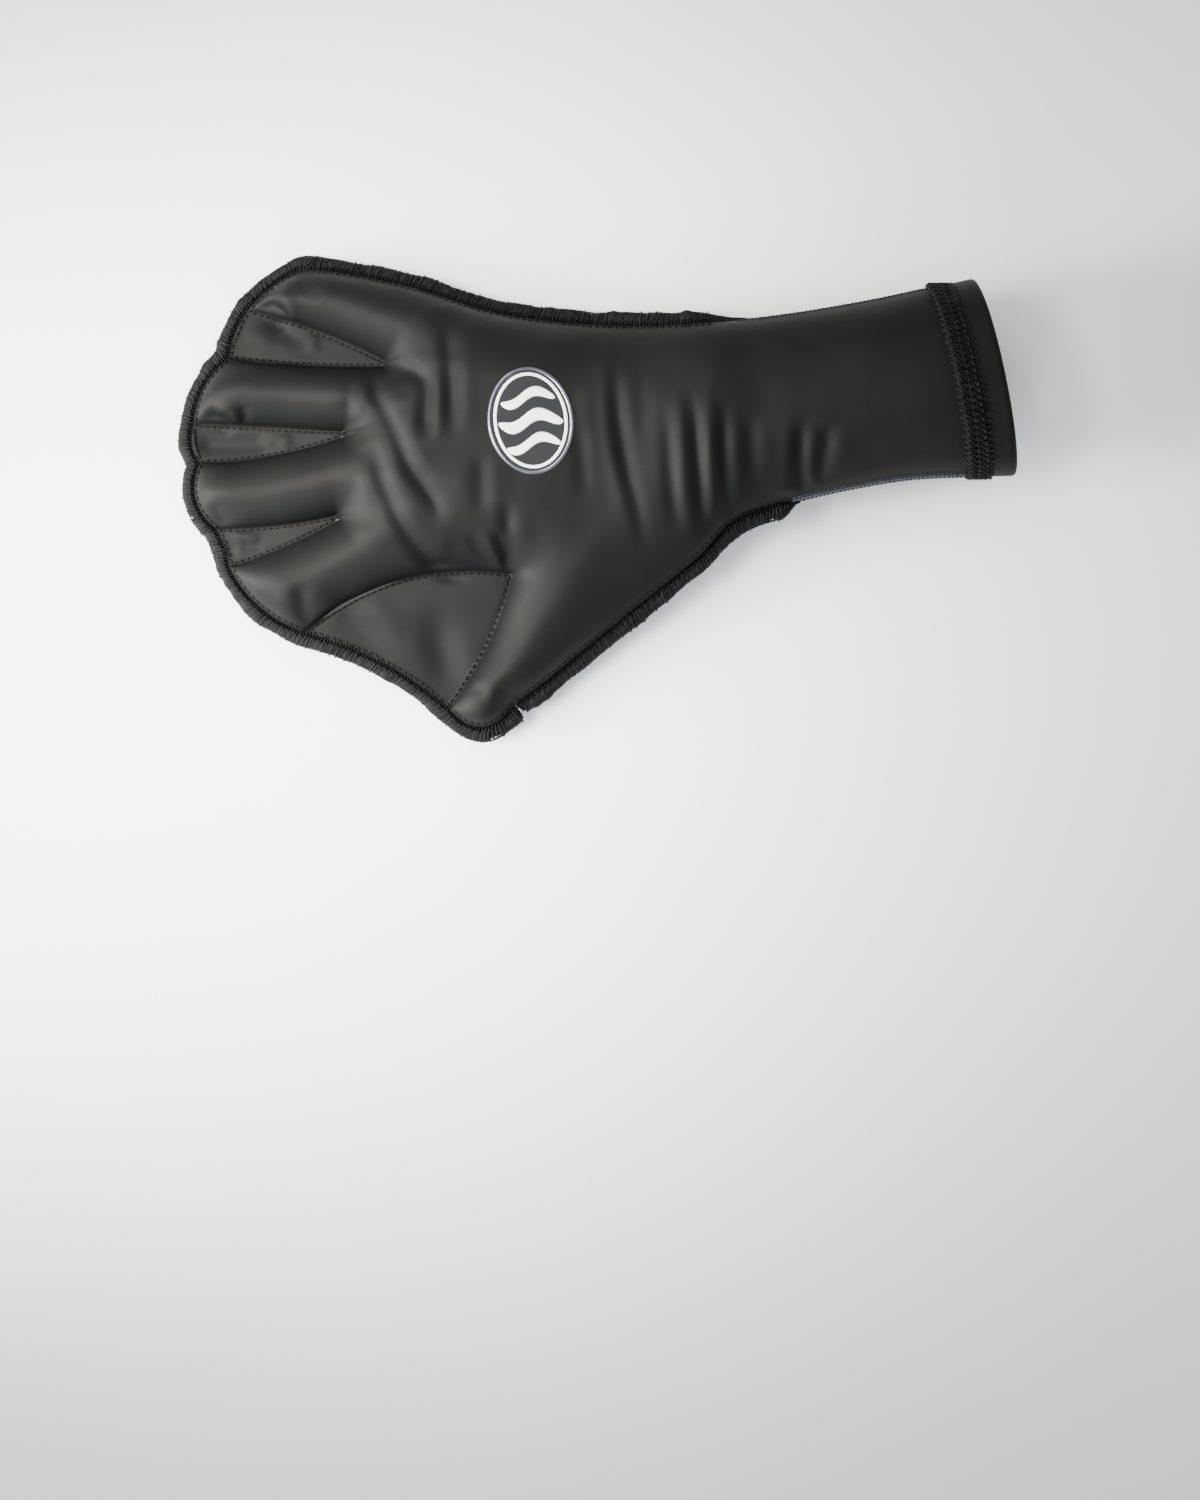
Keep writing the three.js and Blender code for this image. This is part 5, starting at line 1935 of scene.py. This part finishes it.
    def build(self) -> None:
        """Build the film, the rim and the waves and dress them."""
        film = self.film()
        film.data.materials.append(FILM.build())
        dress(film, "badge_film", "back_badge")
        silver, white = SILVER_PRINT.build(), WHITE_PRINT.build()
        rim = self.ring("badge_rim", self.rim, 0.35, 0.28, 0.5)
        rim.data.materials.append(silver)
        dress(rim, "badge_film")
        inner = self.ring("badge_line", 3.5, 2.3, 0.3, 0.46)
        inner.data.materials.append(white)
        dress(inner, "badge_film")
        for number, (level, thick) in enumerate(((8.2, 4.0), (0.0, 5.0), (-8.2, 4.0)), 1):
            wave = self.wave(f"badge_wave_{number}", level, thick)
            wave.data.materials.append(white)
            dress(wave, "badge_film")


@dataclass(frozen=True)
class AreaLight:
    """A square area light that looks at a target, in metres, watts and degrees."""

    name: str
    place: tuple
    size: float
    power: float
    colour: tuple
    target: tuple
    spread: float

    def build(self) -> None:
        """Add the light."""
        data = bpy.data.lights.new(self.name, "AREA")
        data.shape = "SQUARE"
        data.size = self.size
        data.energy = self.power
        data.color = self.colour
        data.spread = math.radians(self.spread)
        obj = bpy.data.objects.new(self.name, data)
        obj.location = self.place
        obj.rotation_euler = (Vector(self.target) - Vector(self.place)).to_track_quat("-Z", "Y").to_euler()
        bpy.context.scene.collection.objects.link(obj)


WARM = (1.0, 0.98, 0.92)
LIGHTS = (
    AreaLight("key", (-0.34, -0.04, 0.42), 0.36, 1.6, WARM, (-0.15, -0.04, 0), 42),
    AreaLight("side", (-0.6, -0.12, 0.2), 0.3, 1.9, (1.0, 0.98, 0.94), (-0.1, -0.06, 0.01), 46),
    AreaLight("low", (-0.35, -0.85, 0.5), 0.5, 0.9, (0.72, 0.84, 1.0), (-0.17, -0.02, 0.01), 40),
    AreaLight("upper", (-0.3, 0.35, 0.5), 0.4, 0.3, WARM, (-0.12, 0.03, 0), 40),
)


@dataclass
class Studio:
    """Camera straight above, a pale floor, soft light from all round and four area lights."""

    camera_place: tuple = (2.3, -91.9, 1050.0)
    in_focus: float = 12.0
    mm_per_pixel: float = 0.3645
    frame_height: float = 1500.0
    sensor: float = 36.0
    floor_reach: float = 3000.0
    floor_drop: float = 0.5
    world_light: float = 0.95

    def build(self) -> None:
        """Add the camera, floor, lights and world."""
        data = bpy.data.cameras.new("camera")
        data.sensor_fit = "VERTICAL"
        data.sensor_height = self.sensor
        distance = self.camera_place[2] - self.in_focus
        data.lens = self.sensor * distance / (self.mm_per_pixel * self.frame_height)
        camera = bpy.data.objects.new("camera", data)
        camera.location = [v * MM for v in self.camera_place]
        bpy.context.scene.collection.objects.link(camera)
        bpy.context.scene.camera = camera
        signs = ((-1, -1), (1, -1), (1, 1), (-1, 1))
        corners = np.array([(self.floor_reach * x, self.floor_reach * y, -self.floor_drop) for x, y in signs])
        floor = mesh_object("floor", corners, [(0, 1, 2, 3)])
        floor.data.materials.append(FLOOR.build())
        for light in LIGHTS:
            light.build()
        world = bpy.data.worlds.new("studio")
        world.use_nodes = True
        world.node_tree.nodes["Background"].inputs[0].default_value = (1, 1, 1, 1)
        world.node_tree.nodes["Background"].inputs[1].default_value = self.world_light
        bpy.context.scene.world = world


def overlocks(skin: GloveSkin) -> list:
    """The two overlocked edges: thumb tip to wrist round the fingertips, and wrist to thumb tip.

    Args:
        skin: Surfaces of the panels.

    Returns:
        The two edges.
    """
    edges = np.concatenate([skin.ground["place"], skin.middle[..., None]], axis=-1)
    rows = skin.stations
    tips = edges[-1, ::-1]
    little = edges[rows >= WRIST, 0][::-1]
    thumb = edges[(rows >= WRIST - 0.41) & (rows <= TIP - 0.06), -1]
    return [
        Overlock("hand_overlock", "hand_overlock", np.vstack([tips, little[1:]]), False, True),
        Overlock("thumb_overlock", "thumb_overlock", thumb, True, False, taper=8.0),
    ]


def main() -> None:
    """Build the glove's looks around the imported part."""
    plan = GlovePlan()
    skin = GloveSkin(plan)
    low, high = (np.array(corner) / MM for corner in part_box("back_badge"))
    skin.origin = (low + high)[:2] / 2 - BADGE_PLACE.mm()
    # needle is the darker thread: the stitches' own black, and on the overlock cores and the coverstitch bed
    # also painted shade in the gaps between loops.
    neoprene, lining, thread, needle = NEOPRENE.build(), LINING.build(), THREAD.build(), DARK_THREAD_AND_GAP_SHADE.build()
    back = Panel(skin, Side.BACK, "back_skin", "back_panel")
    palm = Panel(skin, Side.PALM, "palm_skin", "palm_panel")
    shell = Shell(back.build(neoprene, lining), skin.origin)
    palm_shell = Shell(palm.build(neoprene, lining), skin.origin, Side.PALM)
    for outside in (shell, palm_shell):
        WebStitches(plan).build(outside, needle)
    for seam in overlocks(skin):
        seam.core(needle, skin.origin)
        seam.threads(thread, skin.origin)
        seam.needle_lines((shell, palm_shell), needle, skin.origin)
    rings = CuffRings(skin, back.outer, palm.outer)
    coverstitch = Coverstitch(rings)
    coverstitch.bed(needle)
    coverstitch.threads(thread)
    cloth = SEAM_CLOTH.build()
    per_station = skin.from_end()[-1, 0] / TIP
    for seam in (
        CuffSeam(rings, "little_seam", "little_side_cuff_seam", False, 2.06 * per_station),
        CuffSeam(rings, "thumb_seam", "thumb_side_cuff_seam", True, 1.66 * per_station, towards_back=1.5),
    ):
        seam.build(cloth, thread)
    Badge(shell).build()
    Studio().build()


if __name__ == "__main__":
    logging.basicConfig(level=logging.INFO, format="%(message)s")
    main()
